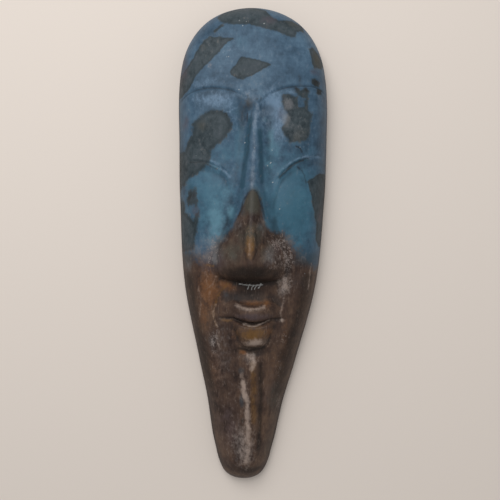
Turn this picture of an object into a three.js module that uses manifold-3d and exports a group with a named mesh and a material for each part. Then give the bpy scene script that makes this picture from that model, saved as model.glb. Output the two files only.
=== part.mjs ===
// A hollow ceramic mask: a long domed face of fired clay, moulded in one piece.
//
// Units are millimetres. X runs across the face, Y from chin to crown and Z out of the face.
// The back rim lies in the plane Z = 0, and the origin is the middle of the mask on that plane.
//
// The face is one surface over the outline. Its height is a large form, falling to the sides,
// with the brows, lids, nose, lips and chin ridge added to it, and it is drawn down to the rim
// by a steep rounded edge. The hollow behind it follows the large form one wall further in.

import * as THREE from 'three';
import { mergeVertices } from 'three/addons/utils/BufferGeometryUtils.js';
import Module from 'manifold-3d';

// Outline
const LENGTH = 500;
const HALF = LENGTH / 2;
const CHIN_RADIUS = 37.6;
const CROWN_RADIUS = 84;
const HALF_WIDTHS = [
  [-237.5, 23.4], [-225, 28], [-200, 34.1], [-175, 38.6], [-125, 50.9], [-50, 68.7],
  [50, 77.2], [125, 78.9], [175, 77.4], [200, 72], [225, 57.6], [237.5, 43.4],
];
const BOW = [[-250, -2.4], [-200, -2.5], [-125, -0.7], [0, 1], [100, 0.7], [200, -1.3], [250, -2]];

// Wall, rim and edge
const WALL = 8;
const RIM_WIDTH = 9;
const EDGE_RUN = 24;
const EDGE_POWER = 2.3;
const HOLLOW_EDGE_RUN = 18;
const HOLLOW_NOSE = { height: 13, x: 0, y: 10, halfWidth: 18, halfLength: 30 };
const HOLLOW_SOCKETS = { height: 3.6, x: 0, y: 120, halfWidth: 48, halfLength: 42 };

// Large form: height on the middle line, fall to the sides, and how sharp the middle line is
const CREST = [
  [-250, 24], [-228, 31], [-200, 37], [-150, 42], [-112, 44], [-60, 46], [0, 47.5],
  [60, 48.5], [110, 49.5], [160, 51.5], [200, 48], [230, 41], [250, 33],
];
const FALL = [
  [-250, 8], [-200, 17], [-140, 20], [-90, 18], [-30, 15], [40, 14], [100, 13], [150, 14],
  [200, 12], [250, 9],
];
const FALL_POWER = [[-250, 1.7], [-160, 1.15], [-110, 1.35], [-50, 2], [250, 2.2]];
const FALL_HALF_WIDTH = [
  [-250, 27], [-200, 34.1], [-125, 50.9], [-50, 68.7], [50, 77.2], [150, 79], [250, 79],
];
const CREST_ROUNDING = 0.06;

// The middle line of the features leans a little, as a hand-finished face does
const MIDDLE = [
  [-250, -0.4], [-200, 2.9], [-138, 3.6], [-88, 4.8], [-45, 1.8], [-15, 0.9], [60, 1.5],
  [142, 2.7], [250, -0.4],
];

// Brows: an arch each side, from the middle up to a peak and down to the edge of the face
const BROWS = [
  { y: 139.5, rise: 15.6, run: 18, turn: 1.5, peak: 42, fall: 0.008 },
  { y: 136.5, rise: 23.5, run: 18, turn: 1.1, peak: 50, fall: 0.009 },
];
const BROW_ROLL = { height: 0.6, above: 4, halfWidth: 3.6 };
const BROW_GROOVE = { depth: 1.2, halfWidth: 2.6 };
const BROW_END = { from: 0.86, to: 1 };

// Closed lids: a pad from the brow down to a step along the lid line
const LIDS = [
  { x: 22, y: 66.5, rise: 17.5, run: 16, tail: 8 },
  { x: 24.5, y: 66, rise: 27, run: 19, tail: 8 },
];
const LID_MARKED = { from: 20, to: 29, step: 9, blend: 26 };
const SOCKET = { depth: 2.4, from: 20, to: 95 };
const SOCKET_WALL = { over: 0.6, inner: 10, outer: 22, from: 4, to: 24 };
const INNER_CORNER = { depth: 1.3, x: 15, y: 122, halfWidth: 9, halfLength: 26 };
const PAD = { height: 5, from: 8, to: 34, topRun: 0.42, sink: 0.55, sinkFrom: 0.45 };
const PAD_SIDE = { loss: 0.45, from: 0.6, to: 1 };
const CHEEK = { height: 3.2, x: 42, y: 40, halfWidth: 22, halfLength: 30 };

// The two eyes blend into each other over this half width on the middle line
const EYES_BLEND = 4;

// Nose: height above the face, half width, and the underside
const NOSE_RISE = [
  [-60, 31], [-39, 31], [-19, 31.5], [-15, 31.2], [2, 26.5], [31, 18], [60, 12], [110, 6.4],
  [138, 3.2], [152, 0],
];
const NOSE_HALF_WIDTH = [
  [-60, 36], [-30, 35.5], [-15, 33.5], [-4, 30], [6, 25], [14, 22], [31, 20], [60, 15.5],
  [110, 11], [150, 10],
];
const NOSE_FLANK = { power: 1.5, rounding: 2.5 };
const NOSE_FOOT_SOFTNESS = [[-30, 0.05], [10, 0.12], [60, 0.3], [120, 0.4]];
const NOSE_BACK = { share: 0.28, width: 0.22, least: 4.2, power: 2.2 };
const NOSTRIL = { height: 7, x: 23, y: -17, halfWidth: 9, halfLength: 14 };
const NOSE_BASE = { y: -39.3, bend: 0.0045, lift: 5, liftFrom: 30, liftTo: 38 };
const NOSE_UNDERSIDE = { run: 20, sideRun: 15, from: 6, to: 22, power: 2.2, turn: 1.5 };
const UNDER_NOSE = { depth: 3.5, y: -50, halfLength: 12, halfWidth: 26 };

// Mouth
const MUZZLE = { height: 4.5, y: -82, halfLength: 30, halfWidth: 30 };
const SLIT = { y: -79.4, bend: 0.013, bendEnd: 19, below: 0.9, depth: 2.6, halfWidth: 2.2 };
const MOUTH_CORNER = { from: 32, to: 37 };
const UPPER_LIP = {
  height: 6.2, foot: 0.18, rise: 12.4, power: 1.8, fade: 8.5, left: 0.08, full: 12, corner: 38,
};
const UPPER_LIP_TAPER = { loss: 7, from: 16, to: 36 };
const UPPER_LIP_EDGE = { from: -0.6, to: 0.8 };
const LOWER_LIP = { height: 7.6, below: 2, length: 23.6, topHalfWidth: 19.5, bottomHalfWidth: 14 };
const LOWER_LIP_NARROWS = { from: 4, to: 22 };
const LOWER_LIP_SIDE = { from: 0.62, to: 1.12 };
const LOWER_LIP_EDGE = { from: -1.4, to: 2.2 };
const LOWER_LIP_DROOP = { loss: 0.9, from: 8, run: 15, power: 2.6 };
const LOWER_LIP_FOOT = 3;

// Chin
const UNDER_LIP = { depth: 2.6, y: -110, halfLength: 5.5, halfWidth: 17 };
const CHIN_RIDGE = { height: 3.4, halfWidth: 11, from: -108, full: -126, fade: -205, to: -242 };

// Hanging bar: a clay bar across the hollow, its lower face square to the back
const BAR = { lowY: 189, highY: 201, backZ: 5, reach: 100, frontZ: 60 };

// Facets: rows and columns stand closer where the carving is finer
const OUTER_FACETS = { columns: 44, rows: 84 };
const HOLLOW_FACETS = { columns: 16, rows: 34 };
const FINE_ROWS = [
  { at: 146, spread: 14, extra: 1.2 },
  { at: 74, spread: 16, extra: 0.8 },
  { at: -30, spread: 16, extra: 2 },
  { at: -82, spread: 24, extra: 1.4 },
];
const FINE_COLUMNS = [{ at: 0, spread: 30, extra: 0.7 }];
const RIM_CROWDING = { start: 0.8, power: 2.2 };
const HOLLOW_BELOW_RIM = 5;

const { smoothstep, clamp, lerp } = THREE.MathUtils;

/** A smooth curve through stations [place, value], held level beyond the two ends. */
function curveThrough(stations) {
  const places = stations.map(([place]) => place);
  const values = stations.map(([, value]) => value);
  const last = places.length - 1;
  const slopeBetween = (i) => (values[i + 1] - values[i]) / (places[i + 1] - places[i]);
  const slopes = places.map((place, i) => {
    if (i === 0) return slopeBetween(0);
    if (i === last) return slopeBetween(last - 1);
    const before = place - places[i - 1];
    const after = places[i + 1] - place;
    return (slopeBetween(i - 1) * after + slopeBetween(i) * before) / (before + after);
  });
  return (place) => {
    const at = clamp(place, places[0], places[last]);
    let i = 0;
    while (i < last - 1 && at > places[i + 1]) i += 1;
    const step = places[i + 1] - places[i];
    const s = (at - places[i]) / step;
    return values[i] * (1 + 2 * s) * (1 - s) ** 2
      + values[i + 1] * s * s * (3 - 2 * s)
      + step * slopes[i] * s * (1 - s) ** 2
      - step * slopes[i + 1] * s * s * (1 - s);
  };
}

const bell = (distance, halfWidth) => Math.exp(-((distance / halfWidth) ** 2));

/** A rounded step from 0 to 1 over a run, steep at its start. */
function roundedStep(distance, run, power, turn = power) {
  const s = clamp(distance / run, 0, 1);
  return (1 - (1 - s) ** power) ** (1 / turn);
}

const bowAt = curveThrough(BOW);
const middleAt = curveThrough(MIDDLE);
const crestAt = curveThrough(CREST);
const fallAt = curveThrough(FALL);
const fallPowerAt = curveThrough(FALL_POWER);
const fallHalfWidthAt = curveThrough(FALL_HALF_WIDTH);
const noseRiseAt = curveThrough(NOSE_RISE);
const noseHalfWidthAt = curveThrough(NOSE_HALF_WIDTH);
const noseFootSoftnessAt = curveThrough(NOSE_FOOT_SOFTNESS);

// The outline is a unit disc stretched by this much across. The half width at a place is the
// stretch times the disc's own half width there, and at the ends the stretch gives the radius.
const stretchAt = curveThrough([
  [-HALF, Math.sqrt(CHIN_RADIUS * HALF)],
  ...HALF_WIDTHS.map(([y, halfWidth]) => [y, halfWidth / Math.sqrt(1 - (y / HALF) ** 2)]),
  [HALF, Math.sqrt(CROWN_RADIUS * HALF)],
]);

/** Place on the back plane of a point of the unit disc, with its depth in from the outline. */
function planPoint(discX, discY) {
  const y = discY * HALF;
  const stretch = stretchAt(y);
  const step = 0.05;
  const stretchSlope = (stretchAt(y + step) - stretchAt(y - step)) / (2 * step);
  const bowSlope = (bowAt(y + step) - bowAt(y - step)) / (2 * step);
  const inside = 1 - discX ** 2 - discY ** 2;
  const acrossSlope = (-2 * discX) / stretch;
  const alongSlope = (-2 * discY) / HALF
    + (2 * discX ** 2 * stretchSlope + 2 * discX * bowSlope) / stretch;
  const steepness = Math.hypot(acrossSlope, alongSlope) + Number.EPSILON;
  return {
    x: bowAt(y) + discX * stretch,
    y,
    depthIn: inside / steepness,
    inwardX: acrossSlope / steepness,
    inwardY: alongSlope / steepness,
  };
}

/** Height of the large form. */
function formHeight(x, y) {
  const fromMiddle = x - middleAt(y);
  const shift = bowAt(y) - middleAt(y);
  const halfWidth = fallHalfWidthAt(y) + (fromMiddle > 0 ? shift : -shift);
  const across = Math.abs(fromMiddle) / halfWidth;
  const rounded = Math.hypot(across, CREST_ROUNDING) - CREST_ROUNDING;
  return { height: crestAt(y) - fallAt(y) * rounded ** fallPowerAt(y), across };
}

/** A rounded hill of the given height, half width and half length. */
function hill({ height, x, y, halfWidth, halfLength }, fromMiddle, along) {
  return height * bell(fromMiddle - x, halfWidth) * bell(along - y, halfLength);
}

/** Height that the brows, sockets and closed lids add on one side. */
function eyeRelief(side, fromMiddle, y, across) {
  const brow = BROWS[side];
  const browY = brow.y + brow.rise * (1 - Math.exp(-((fromMiddle / brow.run) ** brow.turn)))
    - brow.fall * Math.max(fromMiddle - brow.peak, 0) ** 2;
  const overBrow = y - browY;
  const roll = BROW_ROLL.height * bell(overBrow - BROW_ROLL.above, BROW_ROLL.halfWidth);
  const groove = -BROW_GROOVE.depth * bell(overBrow, BROW_GROOVE.halfWidth);
  const browEnd = 1 - smoothstep(across, BROW_END.from, BROW_END.to);

  const socket = -SOCKET.depth * smoothstep(y, SOCKET.from, SOCKET.to);
  const corner = -hill({ ...INNER_CORNER, height: INNER_CORNER.depth }, fromMiddle, y);
  const wallRun = lerp(SOCKET_WALL.inner, SOCKET_WALL.outer,
    smoothstep(fromMiddle, SOCKET_WALL.from, SOCKET_WALL.to));
  const underBrow = 1 - smoothstep(overBrow, -wallRun, SOCKET_WALL.over);

  const lid = LIDS[side];
  const alongLid = Math.max(fromMiddle - lid.x, -lid.tail);
  const lidY = lid.y + lid.rise * (1 - Math.exp(-alongLid / lid.run));
  const fromBrow = 1 - clamp((y - lidY) / Math.max(browY - lidY, 1), 0, 1);
  const marked = smoothstep(fromMiddle, LID_MARKED.from, LID_MARKED.to);
  const lidRun = lerp(LID_MARKED.blend, LID_MARKED.step, marked);
  const pad = PAD.height * smoothstep(fromMiddle, PAD.from, PAD.to)
    * roundedStep(fromBrow, PAD.topRun, 2, 1)
    * (1 - PAD.sink * smoothstep(fromBrow, PAD.sinkFrom, 1))
    * (1 - PAD_SIDE.loss * smoothstep(across, PAD_SIDE.from, PAD_SIDE.to))
    * (1 - smoothstep(lidY - y, 0, lidRun));
  return (roll + groove) * browEnd + (socket + corner) * underBrow + pad
    + hill(CHEEK, fromMiddle, y);
}

/** Height that the nose adds, and the hollow below it takes away. */
function noseRelief(fromMiddle, y) {
  const halfWidth = noseHalfWidthAt(y);
  const rounded = Math.hypot(fromMiddle, NOSE_FLANK.rounding) - NOSE_FLANK.rounding;
  const sharp = 1 - (rounded / halfWidth) ** NOSE_FLANK.power;
  const flank = (sharp + Math.hypot(sharp, noseFootSoftnessAt(y))) / 2;
  const backWidth = halfWidth * NOSE_BACK.width + NOSE_BACK.least;
  const back = Math.exp(-((fromMiddle / backWidth) ** NOSE_BACK.power));
  const rise = noseRiseAt(y) * lerp(flank, back, NOSE_BACK.share) + hill(NOSTRIL, fromMiddle, y);
  const baseY = NOSE_BASE.y + NOSE_BASE.bend * fromMiddle ** 2
    + NOSE_BASE.lift * smoothstep(fromMiddle, NOSE_BASE.liftFrom, NOSE_BASE.liftTo);
  const { from, to, power, turn } = NOSE_UNDERSIDE;
  const run = lerp(NOSE_UNDERSIDE.run, NOSE_UNDERSIDE.sideRun, smoothstep(fromMiddle, from, to));
  const hollow = hill({ ...UNDER_NOSE, height: UNDER_NOSE.depth, x: 0 }, fromMiddle, y);
  return rise * roundedStep(y - baseY, run, power, turn) - hollow;
}

/** Height of the upper lip, by distance up from the slit: its front, then the fall behind it. */
function upperLip(fromMiddle, up) {
  const { height, foot, power, fade, left, full, corner } = UPPER_LIP;
  const { loss, from, to } = UPPER_LIP_TAPER;
  const rise = UPPER_LIP.rise - loss * smoothstep(fromMiddle, from, to);
  const front = lerp(foot, 1, roundedStep(up, rise, power, 1));
  const behind = lerp(1, left, smoothstep(up - rise, 0, fade));
  return height * (1 - smoothstep(fromMiddle, full, corner)) * (up < rise ? front : behind)
    * smoothstep(up, UPPER_LIP_EDGE.from, UPPER_LIP_EDGE.to);
}

/** Height of the lower lip, by distance down from its upper edge. */
function lowerLip(fromMiddle, down) {
  const { height, length, topHalfWidth, bottomHalfWidth } = LOWER_LIP;
  const narrow = smoothstep(down, LOWER_LIP_NARROWS.from, LOWER_LIP_NARROWS.to);
  const toSide = fromMiddle / lerp(topHalfWidth, bottomHalfWidth, narrow);
  const { loss, from, run, power } = LOWER_LIP_DROOP;
  return height * (1 - smoothstep(toSide, LOWER_LIP_SIDE.from, LOWER_LIP_SIDE.to))
    * smoothstep(down, LOWER_LIP_EDGE.from, LOWER_LIP_EDGE.to)
    * (1 - loss * clamp((down - from) / run, 0, 1) ** power)
    * (1 - smoothstep(down, length - LOWER_LIP_FOOT, length));
}

/** Height that the muzzle, the two lips and the slit between them add. */
function mouthRelief(fromMiddle, y) {
  const muzzle = hill({ ...MUZZLE, x: 0 }, fromMiddle, y);
  const slitY = SLIT.y + SLIT.bend * Math.min(fromMiddle, SLIT.bendEnd) ** 2;
  const up = y - slitY;
  const slit = -SLIT.depth * bell(up + SLIT.below, SLIT.halfWidth)
    * (1 - smoothstep(fromMiddle, MOUTH_CORNER.from, MOUTH_CORNER.to));
  return muzzle + upperLip(fromMiddle, up) + lowerLip(fromMiddle, -up - LOWER_LIP.below) + slit;
}

/** Height that the hollow under the lip and the ridge down the chin add. */
function chinRelief(fromMiddle, y) {
  const hollow = hill({ ...UNDER_LIP, height: UNDER_LIP.depth, x: 0 }, fromMiddle, y);
  const roof = clamp(1 - fromMiddle / CHIN_RIDGE.halfWidth, 0, 1);
  const along = smoothstep(-y, -CHIN_RIDGE.from, -CHIN_RIDGE.full)
    * (1 - smoothstep(-y, -CHIN_RIDGE.fade, -CHIN_RIDGE.to));
  return CHIN_RIDGE.height * roof * along - hollow;
}

/** Height of the face at a place on the back plane, before its edge is drawn down. */
function faceHeight(x, y) {
  const { height, across } = formHeight(x, y);
  const offset = x - middleAt(y);
  const fromMiddle = Math.abs(offset);
  const [left, right] = [0, 1].map((side) => eyeRelief(side, fromMiddle, y, across));
  const eyes = lerp(left, right, smoothstep(offset, -EYES_BLEND, EYES_BLEND));
  return height + eyes + noseRelief(fromMiddle, y) + mouthRelief(fromMiddle, y)
    + chinRelief(fromMiddle, y);
}

/** Disc point of a place (u, v) on a square, with the rows and columns crowded at the rim. */
function discPoint(u, v) {
  const x = u * Math.sqrt(1 - v ** 2 / 2);
  const y = v * Math.sqrt(1 - u ** 2 / 2);
  const radius = Math.hypot(x, y);
  if (radius === 0) return { x: 0, y: 0 };
  const { start, power } = RIM_CROWDING;
  const scale = 1 / (start + (1 - start) / power);
  const toRim = Math.max(1 - radius, 0) / (1 - start);
  const crowded = 1 - scale * (1 - start) / power * toRim ** power;
  const moved = radius < start ? scale * radius : crowded;
  return { x: x * moved / radius, y: y * moved / radius };
}

/** Point of the outer surface over a disc point. */
function outerPoint(disc) {
  const plan = planPoint(disc.x, disc.y);
  const edge = roundedStep(plan.depthIn, EDGE_RUN, EDGE_POWER);
  return new THREE.Vector3(plan.x, plan.y, faceHeight(plan.x, plan.y) * edge);
}

/** Point of the hollow's surface over a disc point, one rim width further in. */
function hollowPoint(disc) {
  const plan = planPoint(disc.x, disc.y);
  const inset = RIM_WIDTH * (disc.x ** 2 + disc.y ** 2);
  const x = plan.x + plan.inwardX * inset;
  const y = plan.y + plan.inwardY * inset;
  const relief = hill(HOLLOW_NOSE, x - middleAt(y), y) - hill(HOLLOW_SOCKETS, x, y);
  const edge = roundedStep(plan.depthIn, HOLLOW_EDGE_RUN, EDGE_POWER);
  return new THREE.Vector3(x, y, (formHeight(x, y).height + relief - WALL) * edge);
}

/**
 * Places from -1 to 1, closer together around each band. A band's middle and spread are in
 * millimetres, and millimetres is what a place of 1 stands for.
 */
function spacing(count, bands, millimetres) {
  const fine = 2000;
  const density = (place) => bands.reduce(
    (sum, band) => sum + band.extra * bell(place * millimetres - band.at, band.spread), 1);
  const totals = [0];
  for (let i = 0; i < fine; i += 1) {
    totals.push(totals[i] + density(-1 + 2 * (i + 0.5) / fine));
  }
  const places = [];
  for (let k = 0, i = 0; k <= count; k += 1) {
    const wanted = totals[fine] * k / count;
    while (i < fine - 1 && totals[i + 1] < wanted) i += 1;
    places.push(-1 + 2 * (i + (wanted - totals[i]) / (totals[i + 1] - totals[i])) / fine);
  }
  return places;
}

/** The numbers of a grid's border vertices, in order around it. */
function borderOf(wide, high) {
  const border = [];
  for (let column = 0; column < wide - 1; column += 1) border.push(column);
  for (let row = 0; row < high - 1; row += 1) border.push(row * wide + wide - 1);
  for (let column = wide - 1; column > 0; column -= 1) border.push((high - 1) * wide + column);
  for (let row = high - 1; row > 0; row -= 1) border.push(row * wide);
  return border;
}

/**
 * A closed body: the surface that pointAt gives over the disc, a skirt down to skirtZ where that
 * is below the rim, and a flat face that closes it. Each square of the grid is split along the
 * diagonal that points to the middle, so that no triangle lies flat in the rim.
 */
function domedBody(pointAt, columns, rows, skirtZ) {
  const positions = [];
  const triangles = [];
  const wide = columns.length;
  const high = rows.length;
  for (const v of rows) {
    for (const u of columns) {
      positions.push(...pointAt(discPoint(u, v)).toArray());
    }
  }
  const at = (column, row) => row * wide + column;
  for (let row = 0; row < high - 1; row += 1) {
    for (let column = 0; column < wide - 1; column += 1) {
      const [a, b] = [at(column, row), at(column + 1, row)];
      const [c, d] = [at(column + 1, row + 1), at(column, row + 1)];
      const middle = (columns[column] + columns[column + 1]) * (rows[row] + rows[row + 1]);
      if (middle > 0) triangles.push(a, b, c, a, c, d);
      else triangles.push(a, b, d, b, c, d);
    }
  }
  let rim = borderOf(wide, high);
  for (const i of rim) positions[3 * i + 2] = 0;
  if (skirtZ < 0) {
    const skirt = rim.map((i) => {
      positions.push(positions[3 * i], positions[3 * i + 1], skirtZ);
      return positions.length / 3 - 1;
    });
    rim.forEach((i, k) => {
      const next = (k + 1) % rim.length;
      triangles.push(i, skirt[k], skirt[next], i, skirt[next], rim[next]);
    });
    rim = skirt;
  }
  const centre = positions.length / 3;
  positions.push(0, 0, skirtZ);
  rim.forEach((i, k) => triangles.push(i, centre, rim[(k + 1) % rim.length]));
  const geometry = new THREE.BufferGeometry();
  geometry.setAttribute('position', new THREE.Float32BufferAttribute(positions, 3));
  geometry.setIndex(triangles);
  return geometry;
}

const wasm = await Module();
wasm.setup();

/** A solid of a closed geometry, its shared vertices merged. */
function solidOf(geometry) {
  const bare = geometry.clone();
  bare.deleteAttribute('normal');
  bare.deleteAttribute('uv');
  const merged = mergeVertices(bare);
  return new wasm.Manifold(new wasm.Mesh({
    numProp: 3,
    vertProperties: new Float32Array(merged.attributes.position.array),
    triVerts: new Uint32Array(merged.index.array),
  }));
}

/** A geometry of a solid. */
function geometryOf(solid) {
  const mesh = solid.getMesh();
  const geometry = new THREE.BufferGeometry();
  geometry.setAttribute('position', new THREE.BufferAttribute(mesh.vertProperties, 3));
  geometry.setIndex(new THREE.BufferAttribute(mesh.triVerts, 1));
  geometry.computeVertexNormals();
  return geometry;
}

/** The mask: the domed face, hollowed out from behind except where the hanging bar stands. */
function maskGeometry() {
  const across = HALF_WIDTHS.reduce((most, [, halfWidth]) => Math.max(most, halfWidth), 0);
  const even = (count) => spacing(count, [], 1);
  const face = domedBody(
    outerPoint,
    spacing(OUTER_FACETS.columns, FINE_COLUMNS, across),
    spacing(OUTER_FACETS.rows, FINE_ROWS, HALF),
    0,
  );
  const hollow = domedBody(
    hollowPoint, even(HOLLOW_FACETS.columns), even(HOLLOW_FACETS.rows), -HOLLOW_BELOW_RIM);
  const bar = new THREE.BoxGeometry(2 * BAR.reach, BAR.highY - BAR.lowY, BAR.frontZ - BAR.backZ);
  bar.translate(0, (BAR.lowY + BAR.highY) / 2, (BAR.frontZ + BAR.backZ) / 2);
  const cavity = solidOf(hollow).subtract(solidOf(bar));
  return geometryOf(solidOf(face).subtract(cavity));
}

const paintedClay = new THREE.MeshStandardMaterial({
  color: 0x4b6274,
  roughness: 0.5,
  metalness: 0,
});

const mask = new THREE.Mesh(maskGeometry(), paintedClay);
mask.name = 'mask';

const object = new THREE.Group();
object.add(mask);

export default object;
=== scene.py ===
"""The looks of a hollow ceramic mask: a long face of fired clay, painted blue above and bronze brown below.

The clay is one closed surface. Its front is a height over the outline: a large form with the brows, lids,
nose, lips and chin ridge added, drawn down to the back rim by a steep rounded edge. Its hollow is the same
large form one wall further in, with a clay bar across it to hang the mask by. Sizes of the clay and of the
paint are in millimetres, as a potter measures them, and become metres where a mesh is made.
"""

import logging
import math
from collections.abc import Callable
from dataclasses import dataclass, field
from enum import Enum

import bpy
import numpy as np
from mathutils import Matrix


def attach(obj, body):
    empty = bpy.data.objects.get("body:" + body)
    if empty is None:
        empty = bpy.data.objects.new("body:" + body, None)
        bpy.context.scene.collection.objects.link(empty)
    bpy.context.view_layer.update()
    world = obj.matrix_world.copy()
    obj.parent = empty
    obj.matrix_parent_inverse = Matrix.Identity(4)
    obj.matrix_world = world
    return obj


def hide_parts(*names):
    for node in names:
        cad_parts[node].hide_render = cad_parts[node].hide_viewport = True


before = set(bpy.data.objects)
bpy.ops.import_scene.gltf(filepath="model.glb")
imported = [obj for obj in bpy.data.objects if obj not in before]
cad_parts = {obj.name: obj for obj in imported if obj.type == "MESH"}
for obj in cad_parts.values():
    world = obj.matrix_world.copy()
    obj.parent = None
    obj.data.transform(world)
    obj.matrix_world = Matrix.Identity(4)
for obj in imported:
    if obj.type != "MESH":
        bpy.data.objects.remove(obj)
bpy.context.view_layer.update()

MM = 0.001
HALVINGS = 40
LATTICE = 128
TINY = 1e-12
LOG = logging.getLogger("mask")


def smooth(value: np.ndarray, low: float | np.ndarray, high: float) -> np.ndarray:
    """Smooth step: 0 up to low, 1 from high, and s * s * (3 - 2 s) between."""
    s = np.clip((value - low) / (high - low), 0, 1)
    return s * s * (3 - 2 * s)


def bell(distance: np.ndarray, half_width: float) -> np.ndarray:
    """Rounded hill of height 1: e to the minus (distance / half width) squared."""
    return np.exp(-((distance / half_width) ** 2))


def lerp(start: float | np.ndarray, end: float | np.ndarray, share: np.ndarray) -> np.ndarray:
    """Value a share of the way from start to end."""
    return start + (end - start) * share


def rounded_step(distance: np.ndarray, run: float, power: float, turn: float) -> np.ndarray:
    """Rounded step, steep at first: (1 - (1 - s) ** power) ** (1 / turn), s the distance over the run."""
    s = np.clip(distance / run, 0, 1)
    return (1 - (1 - s) ** power) ** (1 / turn)


def wander(x: np.ndarray, y: np.ndarray, size: float, seed: int) -> np.ndarray:
    """Smooth random heights from -1 to 1.

    Random values on a square lattice are joined by quintic ramps, t cubed times (t (6 t - 15) + 10),
    so that they rise and fall about once in two lattice steps.

    Args:
        x: Places across.
        y: Places along.
        size: Lattice step, in the units of x and y.
        seed: Which random values to use.

    Returns:
        A height for each place.
    """
    lattice = np.random.default_rng(seed).uniform(-1, 1, (LATTICE, LATTICE))
    column = np.floor(x / size).astype(int)
    row = np.floor(y / size).astype(int)
    across = x / size - column
    along = y / size - row
    across = across ** 3 * (across * (6 * across - 15) + 10)
    along = along ** 3 * (along * (6 * along - 15) + 10)
    near_column, far_column = column % LATTICE, (column + 1) % LATTICE
    near_row, far_row = row % LATTICE, (row + 1) % LATTICE
    near = lerp(lattice[near_column, near_row], lattice[far_column, near_row], across)
    far = lerp(lattice[near_column, far_row], lattice[far_column, far_row], across)
    return lerp(near, far, along)


@dataclass(frozen=True)
class Ramp:
    """A smooth rise from 0 at low to 1 at high."""

    low: float
    high: float

    def at(self, value: np.ndarray) -> np.ndarray:
        """Height of the rise at each value."""
        return smooth(value, self.low, self.high)


@dataclass(frozen=True)
class Hill:
    """A rounded hill, or a hollow where its height is taken away."""

    height: float
    x: float
    y: float
    half_width: float
    half_length: float

    def at(self, x: np.ndarray, y: np.ndarray) -> np.ndarray:
        """Height at each place: the hill's height times a bell across and a bell along."""
        return self.height * bell(x - self.x, self.half_width) * bell(y - self.y, self.half_length)


@dataclass(frozen=True)
class Stations:
    """A smooth curve through a few stations, held level beyond the two ends."""

    places: tuple[float, ...]
    values: tuple[float, ...]

    def at(self, place: np.ndarray) -> np.ndarray:
        """Value at each place.

        Between two stations it is the cubic with their values and slopes. A station's slope is the
        mean of the slopes on its two sides, the shorter side weighing more.

        Args:
            place: Where the curve is read.

        Returns:
            The values, in the shape of place.
        """
        knots = np.asarray(self.places, float)
        values = np.asarray(self.values, float)
        steps = np.diff(knots)
        rates = np.diff(values) / steps
        inner = (rates[:-1] * steps[1:] + rates[1:] * steps[:-1]) / (steps[:-1] + steps[1:])
        slopes = np.concatenate([rates[:1], inner, rates[-1:]])
        place = np.clip(place, knots[0], knots[-1])
        i = np.clip(np.searchsorted(knots, place) - 1, 0, len(knots) - 2)
        step = steps[i]
        s = (place - knots[i]) / step
        return (values[i] * (1 + 2 * s) * (1 - s) ** 2 + values[i + 1] * s * s * (3 - 2 * s)
                + step * slopes[i] * s * (1 - s) ** 2 - step * slopes[i + 1] * s * s * (1 - s))


class Side(Enum):
    """The two sides of the face, as it is looked at, by the sign of X."""

    LEFT = -1
    RIGHT = 1


@dataclass(frozen=True)
class Plan:
    """Places on the back plane, with their depth in from the outline and the way in."""

    x: np.ndarray
    y: np.ndarray
    depth: np.ndarray
    inward_x: np.ndarray
    inward_y: np.ndarray


@dataclass(frozen=True)
class Outline:
    """The mask's outline: a unit disc stretched along to the length and across by stations."""

    half_length: float = 250.0
    chin_radius: float = 37.6
    crown_radius: float = 84.0
    half_widths: Stations = Stations(
        (-237.5, -225, -200, -175, -125, -50, 50, 125, 175, 200, 225, 237.5),
        (23.4, 28, 34.1, 38.6, 50.9, 68.7, 77.2, 78.9, 77.4, 72, 57.6, 43.4))
    bow: Stations = Stations((-250, -200, -125, 0, 100, 200, 250), (-2.4, -2.5, -0.7, 1, 0.7, -1.3, -2))
    middle: Stations = Stations(
        (-250, -200, -138, -88, -45, -15, 60, 142, 250), (-0.4, 2.9, 3.6, 4.8, 1.8, 0.9, 1.5, 2.7, -0.4))
    slope_step: float = 0.05

    def stretch(self, y: np.ndarray) -> np.ndarray:
        """Stretch across at a place along: the half width over the disc's own half width there.

        At the two ends it is the root of the end's radius times the half length, which gives the
        outline that radius of curvature.

        Args:
            y: Places along.

        Returns:
            Millimetres that the disc's X of 1 stands for at each place.
        """
        half = self.half_length
        shares = [width / math.sqrt(1 - (place / half) ** 2)
                  for place, width in zip(self.half_widths.places, self.half_widths.values)]
        places = (-half, *self.half_widths.places, half)
        ends = [math.sqrt(radius * half) for radius in (self.chin_radius, self.crown_radius)]
        return Stations(places, (ends[0], *shares, ends[1])).at(y)

    def slope(self, curve: Callable[[np.ndarray], np.ndarray], y: np.ndarray) -> np.ndarray:
        """Slope of a curve at places along, by its values a small step to either side."""
        return (curve(y + self.slope_step) - curve(y - self.slope_step)) / (2 * self.slope_step)

    def plan(self, disc_x: np.ndarray, disc_y: np.ndarray) -> Plan:
        """Places on the back plane of points of the unit disc.

        The depth in from the outline is F over the length of its gradient, with F equal to
        1 - X * X - Y * Y on the disc.

        Args:
            disc_x: X of the disc points.
            disc_y: Y of the disc points.

        Returns:
            The places, their depths in, and the unit vectors that point inwards.
        """
        y = disc_y * self.half_length
        stretch = self.stretch(y)
        across = -2 * disc_x / stretch
        along = -2 * disc_y / self.half_length + (
            2 * disc_x ** 2 * self.slope(self.stretch, y)
            + 2 * disc_x * self.slope(self.bow.at, y)) / stretch
        steepness = np.hypot(across, along) + TINY
        inside = 1 - disc_x ** 2 - disc_y ** 2
        return Plan(self.bow.at(y) + disc_x * stretch, y, inside / steepness,
                    across / steepness, along / steepness)

    def disc_of(self, x: np.ndarray, y: np.ndarray) -> tuple[np.ndarray, np.ndarray]:
        """Disc points of places on the back plane."""
        return (x - self.bow.at(y)) / self.stretch(y), y / self.half_length

    def depth(self, x: np.ndarray, y: np.ndarray) -> np.ndarray:
        """Depth in from the outline of places on the back plane."""
        return self.plan(*self.disc_of(x, y)).depth


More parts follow.
